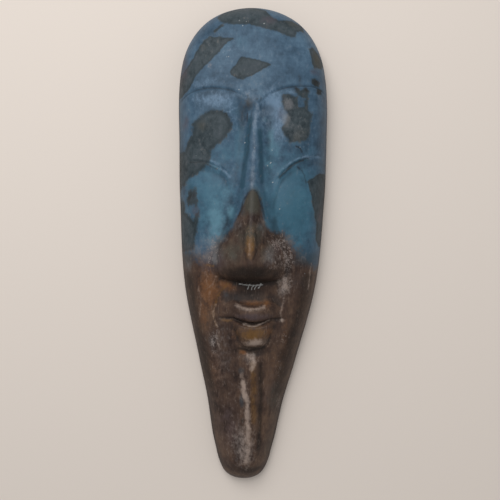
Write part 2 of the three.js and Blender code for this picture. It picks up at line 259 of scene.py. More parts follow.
@dataclass(frozen=True)
class LargeForm:
    """The bare shape of the face: highest on the middle line, falling to both sides."""

    outline: Outline
    crest: Stations = Stations(
        (-250, -228, -200, -150, -112, -60, 0, 60, 110, 160, 200, 230, 250),
        (24, 31, 37, 42, 44, 46, 47.5, 48.5, 49.5, 51.5, 48, 41, 33))
    fall: Stations = Stations(
        (-250, -200, -140, -90, -30, 40, 100, 150, 200, 250), (8, 17, 20, 18, 15, 14, 13, 14, 12, 9))
    fall_power: Stations = Stations((-250, -160, -110, -50, 250), (1.7, 1.15, 1.35, 2, 2.2))
    fall_half_width: Stations = Stations(
        (-250, -200, -125, -50, 50, 150, 250), (27, 34.1, 50.9, 68.7, 77.2, 79, 79))
    crest_rounding: float = 0.06

    def offset(self, x: np.ndarray, y: np.ndarray) -> np.ndarray:
        """Distance across from the middle line, less than 0 on the left."""
        return x - self.outline.middle.at(y)

    def across(self, x: np.ndarray, y: np.ndarray) -> np.ndarray:
        """Share of the way across, from 0 on the middle line to 1 at the edge.

        Args:
            x: Places across.
            y: Places along.

        Returns:
            The distance from the middle line over the half width on its side of the face.
        """
        offset = self.offset(x, y)
        shift = self.outline.bow.at(y) - self.outline.middle.at(y)
        return np.abs(offset) / (self.fall_half_width.at(y) + np.where(offset > 0, shift, -shift))

    def height(self, x: np.ndarray, y: np.ndarray) -> np.ndarray:
        """Height: the crest less the fall times the rounded share across, raised to a power."""
        rounded = np.hypot(self.across(x, y), self.crest_rounding) - self.crest_rounding
        return self.crest.at(y) - self.fall.at(y) * rounded ** self.fall_power.at(y)


@dataclass(frozen=True)
class Brow:
    """One brow line: it climbs from the middle by rise, and falls beyond its peak as a parabola."""

    y: float
    rise: float
    run: float
    turn: float
    peak: float
    fall: float

    def line(self, a: np.ndarray) -> np.ndarray:
        """Place along the face of the brow line at a distance a from the middle."""
        climb = self.rise * (1 - np.exp(-((a / self.run) ** self.turn)))
        return self.y + climb - self.fall * np.maximum(a - self.peak, 0) ** 2


@dataclass(frozen=True)
class Lid:
    """One closed lid's lower line: it climbs outwards and levels off."""

    x: float
    y: float
    rise: float
    run: float
    tail: float = 8.0

    def line(self, a: np.ndarray) -> np.ndarray:
        """Place along the face of the lid line at a distance a from the middle."""
        return self.y + self.rise * (1 - np.exp(-np.maximum(a - self.x, -self.tail) / self.run))


@dataclass(frozen=True)
class Eyes:
    """The brows, the sockets below them, the closed lids and the tops of the cheeks."""

    brows: dict[Side, Brow] = field(default_factory=lambda: {
        Side.LEFT: Brow(139.5, 15.6, 18, 1.5, 42, 0.008),
        Side.RIGHT: Brow(136.5, 23.5, 18, 1.1, 50, 0.009)})
    lids: dict[Side, Lid] = field(default_factory=lambda: {
        Side.LEFT: Lid(22, 66.5, 17.5, 16),
        Side.RIGHT: Lid(24.5, 66, 27, 19)})
    roll_height: float = 0.35
    roll_above: float = 2.4
    roll_half_width: float = 2.4
    groove_depth: float = 0.75
    groove_half_width: float = 1.15
    groove_least: float = 0.5
    groove_growth: Ramp = Ramp(2, 10)
    brow_end: Ramp = Ramp(0.86, 1)
    socket_depth: float = 2.4
    socket_along: Ramp = Ramp(20, 95)
    wall_top: float = 0.6
    wall_inner: float = 10.0
    wall_outer: float = 22.0
    wall_growth: Ramp = Ramp(4, 24)
    inner_corner: Hill = Hill(1.3, 15, 122, 9, 26)
    pad_height: float = 5.0
    pad_growth: Ramp = Ramp(8, 34)
    pad_top_run: float = 0.42
    pad_sink: float = 0.55
    pad_sinking: Ramp = Ramp(0.45, 1)
    pad_side_loss: float = 0.45
    pad_side: Ramp = Ramp(0.6, 1)
    lid_marked: Ramp = Ramp(20, 29)
    lid_step: float = 9.0
    lid_blend: float = 26.0
    lid_roll: float = 0.5
    lid_roll_above: float = 2.2
    lid_roll_half_width: float = 1.8
    lid_roll_end: Ramp = Ramp(0.8, 1)
    lid_crease: float = 1.2
    lid_crease_half_width: float = 1.15
    lid_crease_end: Ramp = Ramp(0.68, 0.95)
    cheek: Hill = Hill(3.2, 42, 40, 22, 30)
    middle_join: Ramp = Ramp(-4, 4)

    def brow_relief(self, side: Side, a: np.ndarray, y: np.ndarray, across: np.ndarray) -> np.ndarray:
        """Height of one brow: a soft roll with a narrow groove under it, both dying out at the side.

        Args:
            side: Which brow.
            a: Distance from the middle line.
            y: Place along the face.
            across: Share of the way across.

        Returns:
            The height to add.
        """
        over = y - self.brows[side].line(a)
        roll = self.roll_height * bell(over - self.roll_above, self.roll_half_width)
        groove = self.groove_depth * bell(over, self.groove_half_width)
        growth = lerp(self.groove_least, 1, self.groove_growth.at(a))
        return (roll - groove * growth) * (1 - self.brow_end.at(across))

    def socket_relief(self, side: Side, a: np.ndarray, y: np.ndarray) -> np.ndarray:
        """Height that the sunk socket takes away under one brow, deepest beside the nose.

        Args:
            side: Which socket.
            a: Distance from the middle line.
            y: Place along the face.

        Returns:
            The height to add, 0 or less.
        """
        wall_run = lerp(self.wall_inner, self.wall_outer, self.wall_growth.at(a))
        under = 1 - smooth(y - self.brows[side].line(a), -wall_run, self.wall_top)
        return -(self.socket_depth * self.socket_along.at(y) + self.inner_corner.at(a, y)) * under

    def lid_relief(self, side: Side, a: np.ndarray, y: np.ndarray, across: np.ndarray) -> np.ndarray:
        """Height of one closed lid: a pad from the brow down to a small step along the lid line.

        The step has a thin roll above it and a crease under it, where the line is marked.

        Args:
            side: Which lid.
            a: Distance from the middle line.
            y: Place along the face.
            across: Share of the way across.

        Returns:
            The height to add.
        """
        brow = self.brows[side].line(a)
        line = self.lids[side].line(a)
        from_brow = 1 - np.clip((y - line) / np.maximum(brow - line, 1), 0, 1)
        marked = self.lid_marked.at(a)
        pad = (self.pad_height * self.pad_growth.at(a)
               * rounded_step(from_brow, self.pad_top_run, 2, 1)
               * (1 - self.pad_sink * self.pad_sinking.at(from_brow))
               * (1 - self.pad_side_loss * self.pad_side.at(across))
               * (1 - smooth((line - y) / lerp(self.lid_blend, self.lid_step, marked), 0, 1)))
        roll = (self.lid_roll * bell(y - line - self.lid_roll_above, self.lid_roll_half_width)
                * (1 - self.lid_roll_end.at(across)))
        crease = (self.lid_crease * bell(y - line, self.lid_crease_half_width)
                  * (1 - self.lid_crease_end.at(across)))
        return pad + (roll - crease) * marked

    def relief(self, offset: np.ndarray, y: np.ndarray, across: np.ndarray) -> np.ndarray:
        """Height that both eyes add, each side worked out on its own and joined on the middle line.

        Args:
            offset: Distance from the middle line, less than 0 on the left.
            y: Place along the face.
            across: Share of the way across.

        Returns:
            The height to add.
        """
        a = np.abs(offset)
        sides = [self.brow_relief(side, a, y, across) + self.socket_relief(side, a, y)
                 + self.lid_relief(side, a, y, across) for side in Side]
        return lerp(*sides, self.middle_join.at(offset)) + self.cheek.at(a, y)


@dataclass(frozen=True)
class Nose:
    """The nose: a long ridge that widens into a wedge, with two lobes and a steep underside."""

    rise: Stations = Stations(
        (-60, -39, -19, -15, 2, 31, 60, 110, 138, 152), (31, 31, 31.5, 31.2, 26.5, 18, 12, 6.4, 3.2, 0))
    half_width: Stations = Stations(
        (-60, -30, -15, -4, 6, 14, 31, 60, 110, 150), (36, 35.5, 33.5, 30, 25, 22, 20, 15.5, 11, 10))
    flank_power: float = 1.5
    crest_rounding: float = 2.5
    foot_softness: Stations = Stations((-30, 10, 60, 120), (0.05, 0.12, 0.3, 0.4))
    back_share: float = 0.28
    back_width: float = 0.22
    back_least: float = 4.2
    back_power: float = 2.2
    lobe: Hill = Hill(7.0, 23, -17, 9, 14)
    base_y: float = -39.3
    base_bend: float = 0.0045
    base_lift: float = 5.0
    base_lifting: Ramp = Ramp(30, 38)
    underside_run: float = 20.0
    underside_side_run: float = 15.0
    underside_growth: Ramp = Ramp(6, 22)
    underside_power: float = 2.2
    underside_turn: float = 1.5
    hollow: Hill = Hill(3.5, 0, -50, 26, 12)

    def profile(self, a: np.ndarray, y: np.ndarray) -> np.ndarray:
        """Share of the nose's rise at a distance from its crest.

        It is a mix of a flank, 1 - (a / half width) ** power with a rounded foot, and a narrow
        rounded back.

        Args:
            a: Distance from the middle line.
            y: Place along the face.

        Returns:
            A share from 0 to about 1.
        """
        width = self.half_width.at(y)
        flank = 1 - ((np.hypot(a, self.crest_rounding) - self.crest_rounding) / width) ** self.flank_power
        flank = (flank + np.hypot(flank, self.foot_softness.at(y))) / 2
        back = np.exp(-((a / (width * self.back_width + self.back_least)) ** self.back_power))
        return lerp(flank, back, self.back_share)

    def relief(self, offset: np.ndarray, y: np.ndarray) -> np.ndarray:
        """Height that the nose adds, less the hollow under it.

        The underside cuts the nose off along a bent line, by a rounded step.

        Args:
            offset: Distance from the middle line, less than 0 on the left.
            y: Place along the face.

        Returns:
            The height to add.
        """
        a = np.abs(offset)
        base = self.base_y + self.base_bend * a ** 2 + self.base_lift * self.base_lifting.at(a)
        run = lerp(self.underside_run, self.underside_side_run, self.underside_growth.at(a))
        under = rounded_step((y - base) / run, 1, self.underside_power, self.underside_turn)
        return (self.rise.at(y) * self.profile(a, y) + self.lobe.at(a, y)) * under - self.hollow.at(a, y)


@dataclass(frozen=True)
class Mouth:
    """The small closed mouth on its muzzle, and the folds from the nose past its corners."""

    muzzle: Hill = Hill(4.5, 0, -82, 30, 30)
    slit_y: float = -79.4
    slit_bend: float = 0.013
    slit_bend_end: float = 19.0
    slit_below: float = 0.9
    slit_depth: float = 2.6
    slit_half_width: float = 1.7
    slit_loss: float = 0.5
    slit_thinning: Ramp = Ramp(14, 26)
    slit_end: Ramp = Ramp(30, 36)
    upper_height: float = 6.2
    upper_rise: float = 12.4
    upper_rise_loss: float = 7.0
    upper_narrowing: Ramp = Ramp(16, 36)
    upper_least: float = 0.18
    upper_power: float = 1.8
    upper_behind: float = 0.08
    upper_fall: Ramp = Ramp(0, 8.5)
    upper_side: Ramp = Ramp(12, 38)
    upper_edge: Ramp = Ramp(-0.6, 0.8)
    lower_height: float = 7.6
    lower_below: float = 2.0
    lower_length: float = 23.6
    lower_top_half_width: float = 19.5
    lower_bottom_half_width: float = 14.0
    lower_narrowing: Ramp = Ramp(4, 22)
    lower_side: Ramp = Ramp(0.62, 1.12)
    lower_edge: Ramp = Ramp(-1.4, 2.2)
    lower_end_run: float = 2.6
    droop: float = 0.9
    droop_start: float = 8.0
    droop_run: float = 15.0
    droop_power: float = 2.6
    fold_x: dict[Side, float] = field(default_factory=lambda: {Side.LEFT: 38.5, Side.RIGHT: 31.5})
    fold_bend: float = 0.01
    fold_bend_y: float = -78.0
    fold_low_end: Ramp = Ramp(-102, -80)
    fold_high_end: Ramp = Ramp(-42, -30)
    fold_step: float = 1.6
    fold_step_run: Ramp = Ramp(-1, 5)
    fold_start: Ramp = Ramp(14, 24)
    fold_lip: float = 1.0
    fold_lip_outside: float = 2.5
    fold_lip_half_width: float = 3.0
    chin_hollow: Hill = Hill(2.6, 0, -110, 17, 5.5)

    def upper_lip(self, a: np.ndarray, up: np.ndarray) -> np.ndarray:
        """Height of the upper lip: a swelling front, then a fall behind it.

        Args:
            a: Distance from the middle line.
            up: Distance up from the slit.

        Returns:
            The height to add.
        """
        rise = self.upper_rise - self.upper_rise_loss * self.upper_narrowing.at(a)
        front = lerp(self.upper_least, 1, rounded_step(up / rise, 1, self.upper_power, 1))
        behind = lerp(1, self.upper_behind, self.upper_fall.at(up - rise))
        return (self.upper_height * (1 - self.upper_side.at(a)) * np.where(up < rise, front, behind)
                * self.upper_edge.at(up))

    def lower_lip(self, a: np.ndarray, down: np.ndarray) -> np.ndarray:
        """Height of the lower lip: a tongue-shaped lobe that droops towards its lower end.

        Args:
            a: Distance from the middle line.
            down: Distance down from the lip's upper edge.

        Returns:
            The height to add.
        """
        half_width = lerp(self.lower_top_half_width, self.lower_bottom_half_width,
                          self.lower_narrowing.at(down))
        drooped = np.clip((down - self.droop_start) / self.droop_run, 0, 1) ** self.droop_power
        return (self.lower_height * (1 - self.lower_side.at(a / half_width)) * self.lower_edge.at(down)
                * (1 - self.droop * drooped)
                * (1 - smooth(down, self.lower_length - self.lower_end_run, self.lower_length)))

    def fold(self, offset: np.ndarray, y: np.ndarray) -> np.ndarray:
        """Height of the folds: a step down on the mouth's side of each, with a thin lip outside it.

        Args:
            offset: Distance from the middle line, less than 0 on the left.
            y: Place along the face.

        Returns:
            The height to add.
        """
        edge = np.where(offset < 0, self.fold_x[Side.LEFT], self.fold_x[Side.RIGHT])
        edge = edge - self.fold_bend * np.maximum(self.fold_bend_y - y, 0) ** 2
        a = np.abs(offset)
        reach = self.fold_low_end.at(y) * (1 - self.fold_high_end.at(y))
        step = self.fold_step * self.fold_step_run.at(edge - a) * self.fold_start.at(a)
        lip = self.fold_lip * bell(a - edge - self.fold_lip_outside, self.fold_lip_half_width)
        return (lip - step) * reach

    def relief(self, offset: np.ndarray, y: np.ndarray) -> np.ndarray:
        """Height that the muzzle, the folds, the lips and the slit add, less the hollow under the lip.

        Args:
            offset: Distance from the middle line, less than 0 on the left.
            y: Place along the face.

        Returns:
            The height to add.
        """
        a = np.abs(offset)
        up = y - self.slit_y - self.slit_bend * np.minimum(a, self.slit_bend_end) ** 2
        slit = (self.slit_depth * bell(up + self.slit_below, self.slit_half_width)
                * (1 - self.slit_loss * self.slit_thinning.at(a)) * (1 - self.slit_end.at(a)))
        return (self.muzzle.at(a, y) + self.fold(offset, y) + self.upper_lip(a, up)
                + self.lower_lip(a, -up - self.lower_below) - slit - self.chin_hollow.at(a, y))


@dataclass(frozen=True)
class ChinRidge:
    """The ridge that runs from under the lip down to the chin's tip, like a low roof."""

    height: float = 3.4
    half_width: float = 11.0
    rounding: float = 1.5
    start: Ramp = Ramp(108, 126)
    end: Ramp = Ramp(205, 242)

    def relief(self, offset: np.ndarray, y: np.ndarray) -> np.ndarray:
        """Height that the ridge adds: 1 less the rounded distance over the half width."""
        roof = np.clip(1 - (np.hypot(offset, self.rounding) - self.rounding) / self.half_width, 0, 1)
        return self.height * roof * self.start.at(-y) * (1 - self.end.at(-y))


@dataclass(frozen=True)
class HandMarks:
    """What smoothing hands and coarse clay leave: slow waves, dimples, a fine grain and pits."""

    wave: float = 0.35
    wave_size: float = 34.0
    dimple: float = 0.16
    dimple_size: float = 11.0
    grain: float = 0.05
    grain_size: float = 3.2
    pits: int = 150
    pit_reach: tuple[float, float] = (74.0, 240.0)
    pit_radius: tuple[float, float] = (0.7, 1.6)
    pit_depth: float = 0.5
    pit_least: float = 0.3
    pit_below: float = 1.3
    pit_above: float = 0.6
    pit_spread: float = 4.0
    seed: int = 41

    def relief(self, x: np.ndarray, y: np.ndarray) -> np.ndarray:
        """Height of the waves, dimples and grain, less the pits.

        Each pit is a small bell at a random place, deeper on the lower half of the face.

        Args:
            x: Places across.
            y: Places along.

        Returns:
            The height to add.
        """
        rough = (self.wave * wander(x, y, self.wave_size, self.seed)
                 + self.dimple * wander(x, y, self.dimple_size, self.seed + 1)
                 + self.grain * wander(x, y, self.grain_size, self.seed + 2))
        rng = np.random.default_rng(self.seed)
        for _ in range(self.pits):
            pit_x, pit_y = (rng.uniform(-reach, reach) for reach in self.pit_reach)
            radius = rng.uniform(*self.pit_radius)
            share = self.pit_below if pit_y < 0 else self.pit_above
            depth = self.pit_depth * rng.uniform(self.pit_least, 1) * share
            spread = self.pit_spread * radius
            near = (np.abs(x - pit_x) < spread) & (np.abs(y - pit_y) < spread)
            rough[near] -= depth * bell(np.hypot(x[near] - pit_x, y[near] - pit_y), radius)
        return rough


@dataclass(frozen=True)
class Face:
    """The whole front of the mask."""

    form: LargeForm
    eyes: Eyes = Eyes()
    nose: Nose = Nose()
    mouth: Mouth = Mouth()
    chin: ChinRidge = ChinRidge()
    marks: HandMarks = HandMarks()
    edge_run: float = 24.0
    edge_power: float = 2.3

    def carved(self, x: np.ndarray, y: np.ndarray) -> np.ndarray:
        """Height of the carved face, before hand marks and before its edge is drawn down.

        Args:
            x: Places across.
            y: Places along.

        Returns:
            The heights.
        """
        offset = self.form.offset(x, y)
        return (self.form.height(x, y) + self.eyes.relief(offset, y, self.form.across(x, y))
                + self.nose.relief(offset, y) + self.mouth.relief(offset, y)
                + self.chin.relief(offset, y))


@dataclass(frozen=True)
class HangingBar:
    """The clay bar across the hollow: flat at the back, filleted where it meets the wall."""

    low_y: float = 189.0
    high_y: float = 201.0
    back_z: float = 5.0
    fillet: float = 3.0
    rounding: float = 2.0
    depth: float = 35.0
    map_share: float = 0.4
    turn_points: int = 5
    side_points: int = 7
    wave: float = 0.25
    wave_size: float = 14.0
    wave_seed: int = 77

    def profile(self) -> tuple[np.ndarray, np.ndarray]:
        """The bar's outline along the mask.

        It goes round the lower fillet, down the lower side, round the edge, along the back, and the
        same way up again.

        Returns:
            The places along, and the share of the hollow's depth that is left open at each.
        """
        turn = np.linspace(0, math.pi / 2, self.turn_points)
        corner = self.rounding / self.depth
        top = 1 - self.fillet / self.depth
        side = np.linspace(top, corner, self.side_points)[1:-1]
        places = np.concatenate([
            self.low_y - self.fillet * (1 - np.sin(turn)), np.full(len(side), self.low_y),
            self.low_y + self.rounding * (1 - np.cos(turn))])
        open_share = np.concatenate([
            1 - (1 - top) * (1 - np.cos(turn)), side, corner * (1 - np.sin(turn))])
        middle = (self.low_y + self.high_y) / 2
        mirrored = self.low_y + self.high_y - places[::-1]
        return (np.concatenate([places, [middle], mirrored]),
                np.concatenate([open_share, [0], open_share[::-1]]))

    def back(self, x: np.ndarray, y: np.ndarray) -> np.ndarray:
        """Height of the bar's back, which a hand has left a little uneven."""
        return self.back_z + self.wave * wander(x, y, self.wave_size, self.wave_seed)


@dataclass(frozen=True)
class Hollow:
    """The hollow behind the face, one wall further in, and the bar across it."""

    face: Face
    bar: HangingBar = HangingBar()
    wall: float = 8.0
    rim_width: float = 9.0
    edge_run: float = 18.0
    rim_rounding: float = 1.0
    nose: Hill = Hill(13, 0, 10, 18, 30)
    sockets: Hill = Hill(3.6, 0, 120, 48, 42)
    finger_depth: float = 0.45
    finger_size: float = 15.0
    finger_seed: int = 61
    columns: int = 48
    rows: int = 92
    edge_samples: int = 600
    row_crowding: float = 0.6
    bar_clearance: float = 2.0
    bar_straightens: Ramp = Ramp(0.9, 1)

    def ceiling(self, x: np.ndarray, y: np.ndarray) -> np.ndarray:
        """Height of the hollow's ceiling before it turns down at its edge: the large form less the wall.

        A hill is added behind the nose, and a wide dip taken away behind the sunk sockets.

        Args:
            x: Places across.
            y: Places along.

        Returns:
            The height at each place.
        """
        form = self.face.form
        nose = self.nose.at(form.offset(x, y), y)
        return form.height(x, y) + nose - self.sockets.at(x, y) - self.wall

    def halved(self, depth: Callable[[np.ndarray], np.ndarray], near: np.ndarray,
               far: np.ndarray) -> np.ndarray:
        """Places of the hollow's edge between near places inside it and far ones outside, by halving.

        Args:
            depth: Gives for places their depth in from the outline.
            near: Places inside the edge.
            far: Places outside the edge.

        Returns:
            Where the depth in from the outline is the rim's width.
        """
        for _ in range(HALVINGS):
            half = (near + far) / 2
            deep = depth(half) > self.rim_width
            near, far = np.where(deep, half, near), np.where(deep, far, half)
        return near

    def edges(self) -> tuple[np.ndarray, np.ndarray, np.ndarray]:
        """The hollow's edge on the back rim.

        Returns:
            Places along, and the left and the right edge at each.
        """
        outline = self.face.form.outline
        ends = [float(self.halved(lambda y: outline.depth(outline.bow.at(y), y), np.array([0.0]),
                                  np.array([way * outline.half_length]))[0]) for way in (-1.0, 1.0)]
        y = lerp(*ends, (1 - np.cos(np.linspace(0, math.pi, self.edge_samples))) / 2)
        bow = outline.bow.at(y)
        width = outline.stretch(y) * np.sqrt(np.maximum(1 - (y / outline.half_length) ** 2, 0))
        left, right = (self.halved(lambda x: outline.depth(x, y), bow, bow + side.value * width)
                       for side in Side)
        return y, left, right

    def row_places(self) -> dict[str, np.ndarray]:
        """Where the hollow's rows lie.

        Returns:
            For each row, its place along at the rim and in the middle, the share of the hollow's
            depth that the bar leaves open, and how far the bar's sides push the flat map along.
        """
        edge_y = self.edges()[0]
        t = np.linspace(0, 1, self.rows)
        rows = lerp(edge_y[0], edge_y[-1], lerp(t, (1 - np.cos(math.pi * t)) / 2, self.row_crowding))
        bar_y, bar_open = self.bar.profile()
        below = rows[rows < bar_y[0] - self.bar_clearance]
        above = rows[rows > bar_y[-1] + self.bar_clearance]
        open_share = np.concatenate([np.ones(len(below)), bar_open, np.ones(len(above))])
        sides = np.concatenate([[0], np.cumsum(np.abs(np.diff(open_share)))])
        return {
            "rim": np.concatenate([below, np.linspace(bar_y[0], bar_y[-1], len(bar_y)), above]),
            "middle": np.concatenate([below, bar_y, above]),
            "open": open_share,
            "shift": self.bar.map_share * self.bar.depth * sides,
        }

    def grid(self) -> dict[str, np.ndarray]:
        """The hollow's surface on a grid of rows across it, from the chin's end to the crown's.

        Returns:
            X, Y and Z of each point, how far the surface has fallen there on its way to the rim,
            and how far the flat map is pushed along.
        """
        edge_y, left, right = self.edges()
        place = self.row_places()
        u = np.sin(np.linspace(-1, 1, self.columns + 1) * math.pi / 2)[None, :]
        y = lerp(place["middle"][:, None], place["rim"][:, None], self.bar_straightens.at(np.abs(u)))
        x = lerp(np.interp(y, edge_y, left), np.interp(y, edge_y, right), (u + 1) / 2)
        depth = np.maximum(self.face.form.outline.depth(x, y) - self.rim_width, 0)
        depth[:, [0, -1]] = 0
        depth[[0, -1], :] = 0
        ceiling = self.ceiling(x, y)
        pressed = ceiling + self.finger_depth * wander(x, y, self.finger_size, self.finger_seed)
        edge = rounded_step(depth, self.edge_run, self.face.edge_power, self.face.edge_power)
        full = lerp(self.rim_rounding, pressed, edge)
        back = self.bar.back(x, y)
        z = np.where(full > back, back + (full - back) * place["open"][:, None], full)
        fall = (ceiling - self.rim_rounding) * (1 - edge)
        shift = np.broadcast_to(place["shift"][:, None], x.shape)
        return {"x": x, "y": y, "z": z, "fall": fall, "shift": shift}


@dataclass
class Skin:
    """Points and faces of the clay as they are gathered, with named values for each point."""

    values: dict[str, list[np.ndarray]] = field(default_factory=dict)
    faces: list[np.ndarray] = field(default_factory=list)
    front: list[np.ndarray] = field(default_factory=list)
    count: int = 0

    def add_points(self, **values: np.ndarray) -> np.ndarray:
        """Adds points with their named values, x, y and z among them.

        Args:
            **values: One array for each name, all of one shape, with the same names each time.

        Returns:
            The points' numbers, in the shape of the arrays.
        """
        for name, value in values.items():
            self.values.setdefault(name, []).append(np.asarray(value, float).ravel())
        shape = values["x"].shape
        numbers = np.arange(self.count, self.count + values["x"].size).reshape(shape)
        self.count += values["x"].size
        return numbers

    def of(self, name: str) -> np.ndarray:
        """One named value of all the points so far."""
        return np.concatenate(self.values[name])

    def add_faces(self, corners: np.ndarray, front: bool) -> None:
        """Adds faces, one row of corner numbers each, and notes whether they are on the front."""
        self.faces.append(corners)
        self.front.append(np.full(len(corners), front))

    def add_grid(self, numbers: np.ndarray, front: bool) -> None:
        """Adds the quads of a grid of points, turned to the front or to the back.

        Args:
            numbers: The points' numbers, in rows.
            front: Whether the faces are on the front.
        """
        corners = [numbers[:-1, :-1], numbers[:-1, 1:], numbers[1:, 1:], numbers[1:, :-1]]
        quads = np.stack(corners, axis=-1).reshape(-1, 4)
        self.add_faces(quads if front else quads[:, ::-1], front)

    def add_band(self, first: np.ndarray, second: np.ndarray, front: bool) -> None:
        """Adds the quads between two closed rings of as many points."""
        self.add_faces(np.stack([first, np.roll(first, -1), np.roll(second, -1), second], axis=1), front)


def border(numbers: np.ndarray) -> np.ndarray:
    """The numbers on a grid's border, once round it, against the clock seen from the front."""
    return np.concatenate([numbers[0, :-1], numbers[:-1, -1], numbers[-1, :0:-1], numbers[:0:-1, 0]])


@dataclass(frozen=True)
class Band:
    """A stretch where the grid's lines stand closer: its middle, spread and extra density."""

    middle: float
    spread: float
    extra: float


@dataclass(frozen=True)
class MaskShell:
    """The clay shell as one closed surface: front, rounded back rim, hollow and bar."""

    hollow: Hollow
    columns: int = 190
    rows: int = 436
    fine_rows: tuple[Band, ...] = (
        Band(150, 12, 0.9), Band(80, 14, 0.8), Band(-30, 16, 1.1), Band(-82, 24, 0.9))
    fine_columns: tuple[Band, ...] = (Band(0, 34, 0.6),)
    rim_start: float = 0.8
    rim_power: float = 2.2
    rim_rounding: float = 1.2
    rim_turns: int = 3
    hollow_turns: int = 2
    density_samples: int = 4001
    crease_passes: int = 30
    map_gap: float = 4.0

    @property
    def face(self) -> Face:
        """The front of the mask."""
        return self.hollow.face

    @property
    def outline(self) -> Outline:
        """The mask's outline."""
        return self.hollow.face.form.outline

    def spacing(self, count: int, bands: tuple[Band, ...], scale: float) -> np.ndarray:
        """Places from -1 to 1, closer together round each band.

        The density of places is 1 plus each band's extra times a bell round its middle, and the
        places cut the area under it into equal parts.

        Args:
            count: How many steps to make.
            bands: Where the places stand closer, in millimetres.
            scale: Millimetres that a place of 1 stands for.

        Returns:
            The places, one more than the steps.
        """
        fine = np.linspace(-1, 1, self.density_samples)
        density = 1 + sum(band.extra * bell(fine * scale - band.middle, band.spread) for band in bands)
        total = np.concatenate([[0], np.cumsum((density[1:] + density[:-1]) / 2)])
        return np.interp(np.linspace(0, total[-1], count + 1), total, fine)

    def disc(self) -> tuple[np.ndarray, np.ndarray]:
        """Disc points of the front's grid.

        A square (u, v) becomes the disc point (u * root(1 - v * v / 2), v * root(1 - u * u / 2)),
        and the points near the rim then move outwards, so that they stand closer there.

        Returns:
            X and Y of the disc points.
        """
        u = self.spacing(self.columns, self.fine_columns, max(self.outline.half_widths.values))[None, :]
        v = self.spacing(self.rows, self.fine_rows, self.outline.half_length)[:, None]
        x = u * np.sqrt(1 - v ** 2 / 2)
        y = v * np.sqrt(1 - u ** 2 / 2)
        radius = np.maximum(np.hypot(x, y), TINY)
        start, power = self.rim_start, self.rim_power
        scale = 1 / (start + (1 - start) / power)
        to_rim = np.maximum(1 - radius, 0) / (1 - start)
        crowded = 1 - scale * (1 - start) / power * to_rim ** power
        moved = np.where(radius < start, scale * radius, crowded)
        return x * moved / radius, y * moved / radius

    def crease(self, height: np.ndarray) -> np.ndarray:
        """How far each place stands above or lies below the ground round it, in millimetres.

        The ground is the height spread out by so many passes, each the mean of four neighbours.

        Args:
            height: Heights on a grid.

        Returns:
            Above 0 on ridges and below 0 in creases.
        """
        mean = height
        for _ in range(self.crease_passes):
            wide = np.pad(mean, 1, mode="edge")
            mean = (wide[:-2, 1:-1] + wide[2:, 1:-1] + wide[1:-1, :-2] + wide[1:-1, 2:]) / 4
        return height - mean

    def zip_rings(self, skin: Skin, outer: np.ndarray, inner: np.ndarray) -> None:
        """Fills the flat back rim between two rings of different counts with triangles.

        Both rings are read by their angle on the unit disc. Each step along one ring makes a
        triangle with the point that the other ring has reached by the middle of that step.

        Args:
            skin: What the triangles are added to.
            outer: Point numbers of the outer ring, against the clock.
            inner: Point numbers of the inner ring, against the clock.
        """
        disc_x, disc_y = self.outline.disc_of(skin.of("x"), skin.of("y"))
        rings = []
        middles = []
        for ring in (outer, inner):
            angle = np.arctan2(disc_y[ring], disc_x[ring])
            start = int(np.argmin(angle))
            ring, angle = np.roll(ring, -start), np.roll(angle, -start)
            rings.append(ring)
            middles.append((angle + np.append(angle[1:], angle[0] + 2 * math.pi)) / 2)
        for this, other in ((0, 1), (1, 0)):
            reached = np.searchsorted(middles[other], middles[this]) % len(rings[other])
            ring = rings[this]
            corners = np.stack([ring, rings[other][reached], np.roll(ring, -1)], axis=1)
            skin.add_faces(corners if this == 0 else corners[:, ::-1], False)

    def round_off(self, skin: Skin, ring: np.ndarray, radius: float, turns: int,
                  front: bool) -> np.ndarray:
        """Carries a ring round a quarter turn onto the back plane.

        The front's ring turns inwards and the hollow's outwards, both on to the rim.

        Args:
            skin: What the new rings and their bands are added to.
            ring: Point numbers of the ring, against the clock.
            radius: Radius of the quarter turn.
            turns: In how many steps to make it.
            front: Whether it is the front's ring.

        Returns:
            Point numbers of the last ring, which lies on the back plane.
        """
        start = {name: skin.of(name)[ring] for name in skin.values}
        way = 1 if front else -1
        latest = ring
        for turn in np.linspace(0, math.pi / 2, turns + 1)[1:]:
            out = way * radius * (1 - math.cos(turn))
            x = start["x"] + start["inward_x"] * out
            y = start["y"] + start["inward_y"] * out
            following = skin.add_points(**start | {
                "x": x, "y": y, "z": np.full(len(ring), radius * (1 - math.sin(turn))),
                "front_fall": start["front_fall"] + radius * turn,
                "back_fall": self.hollow.ceiling(x, y) + self.hollow.rim_rounding * turn,
                "painted": np.full(len(ring), float(front))})
            bands = (following, latest) if front else (latest, following)
            skin.add_band(*bands, front)
            latest = following
        return latest

    def add_front(self, skin: Skin) -> np.ndarray:
        """Adds the front and its rounded edge.

        Args:
            skin: What the points and faces are added to.

        Returns:
            Point numbers of the last ring, which lies on the back plane.
        """
        plan = self.outline.plan(*self.disc())
        edge = rounded_step(plan.depth, self.face.edge_run, self.face.edge_power, self.face.edge_power)
        carved = self.face.carved(plan.x, plan.y)
        height = carved + self.face.marks.relief(plan.x, plan.y)
        numbers = skin.add_points(
            x=plan.x, y=plan.y, z=lerp(self.rim_rounding, height, edge),
            inward_x=plan.inward_x, inward_y=plan.inward_y, depth=plan.depth,
            front_fall=carved * (1 - edge), back_fall=carved, shift=np.zeros_like(edge),
            crease=self.crease(height), painted=np.ones_like(edge))
        skin.add_grid(numbers, True)
        return self.round_off(skin, border(numbers), self.rim_rounding, self.rim_turns, True)

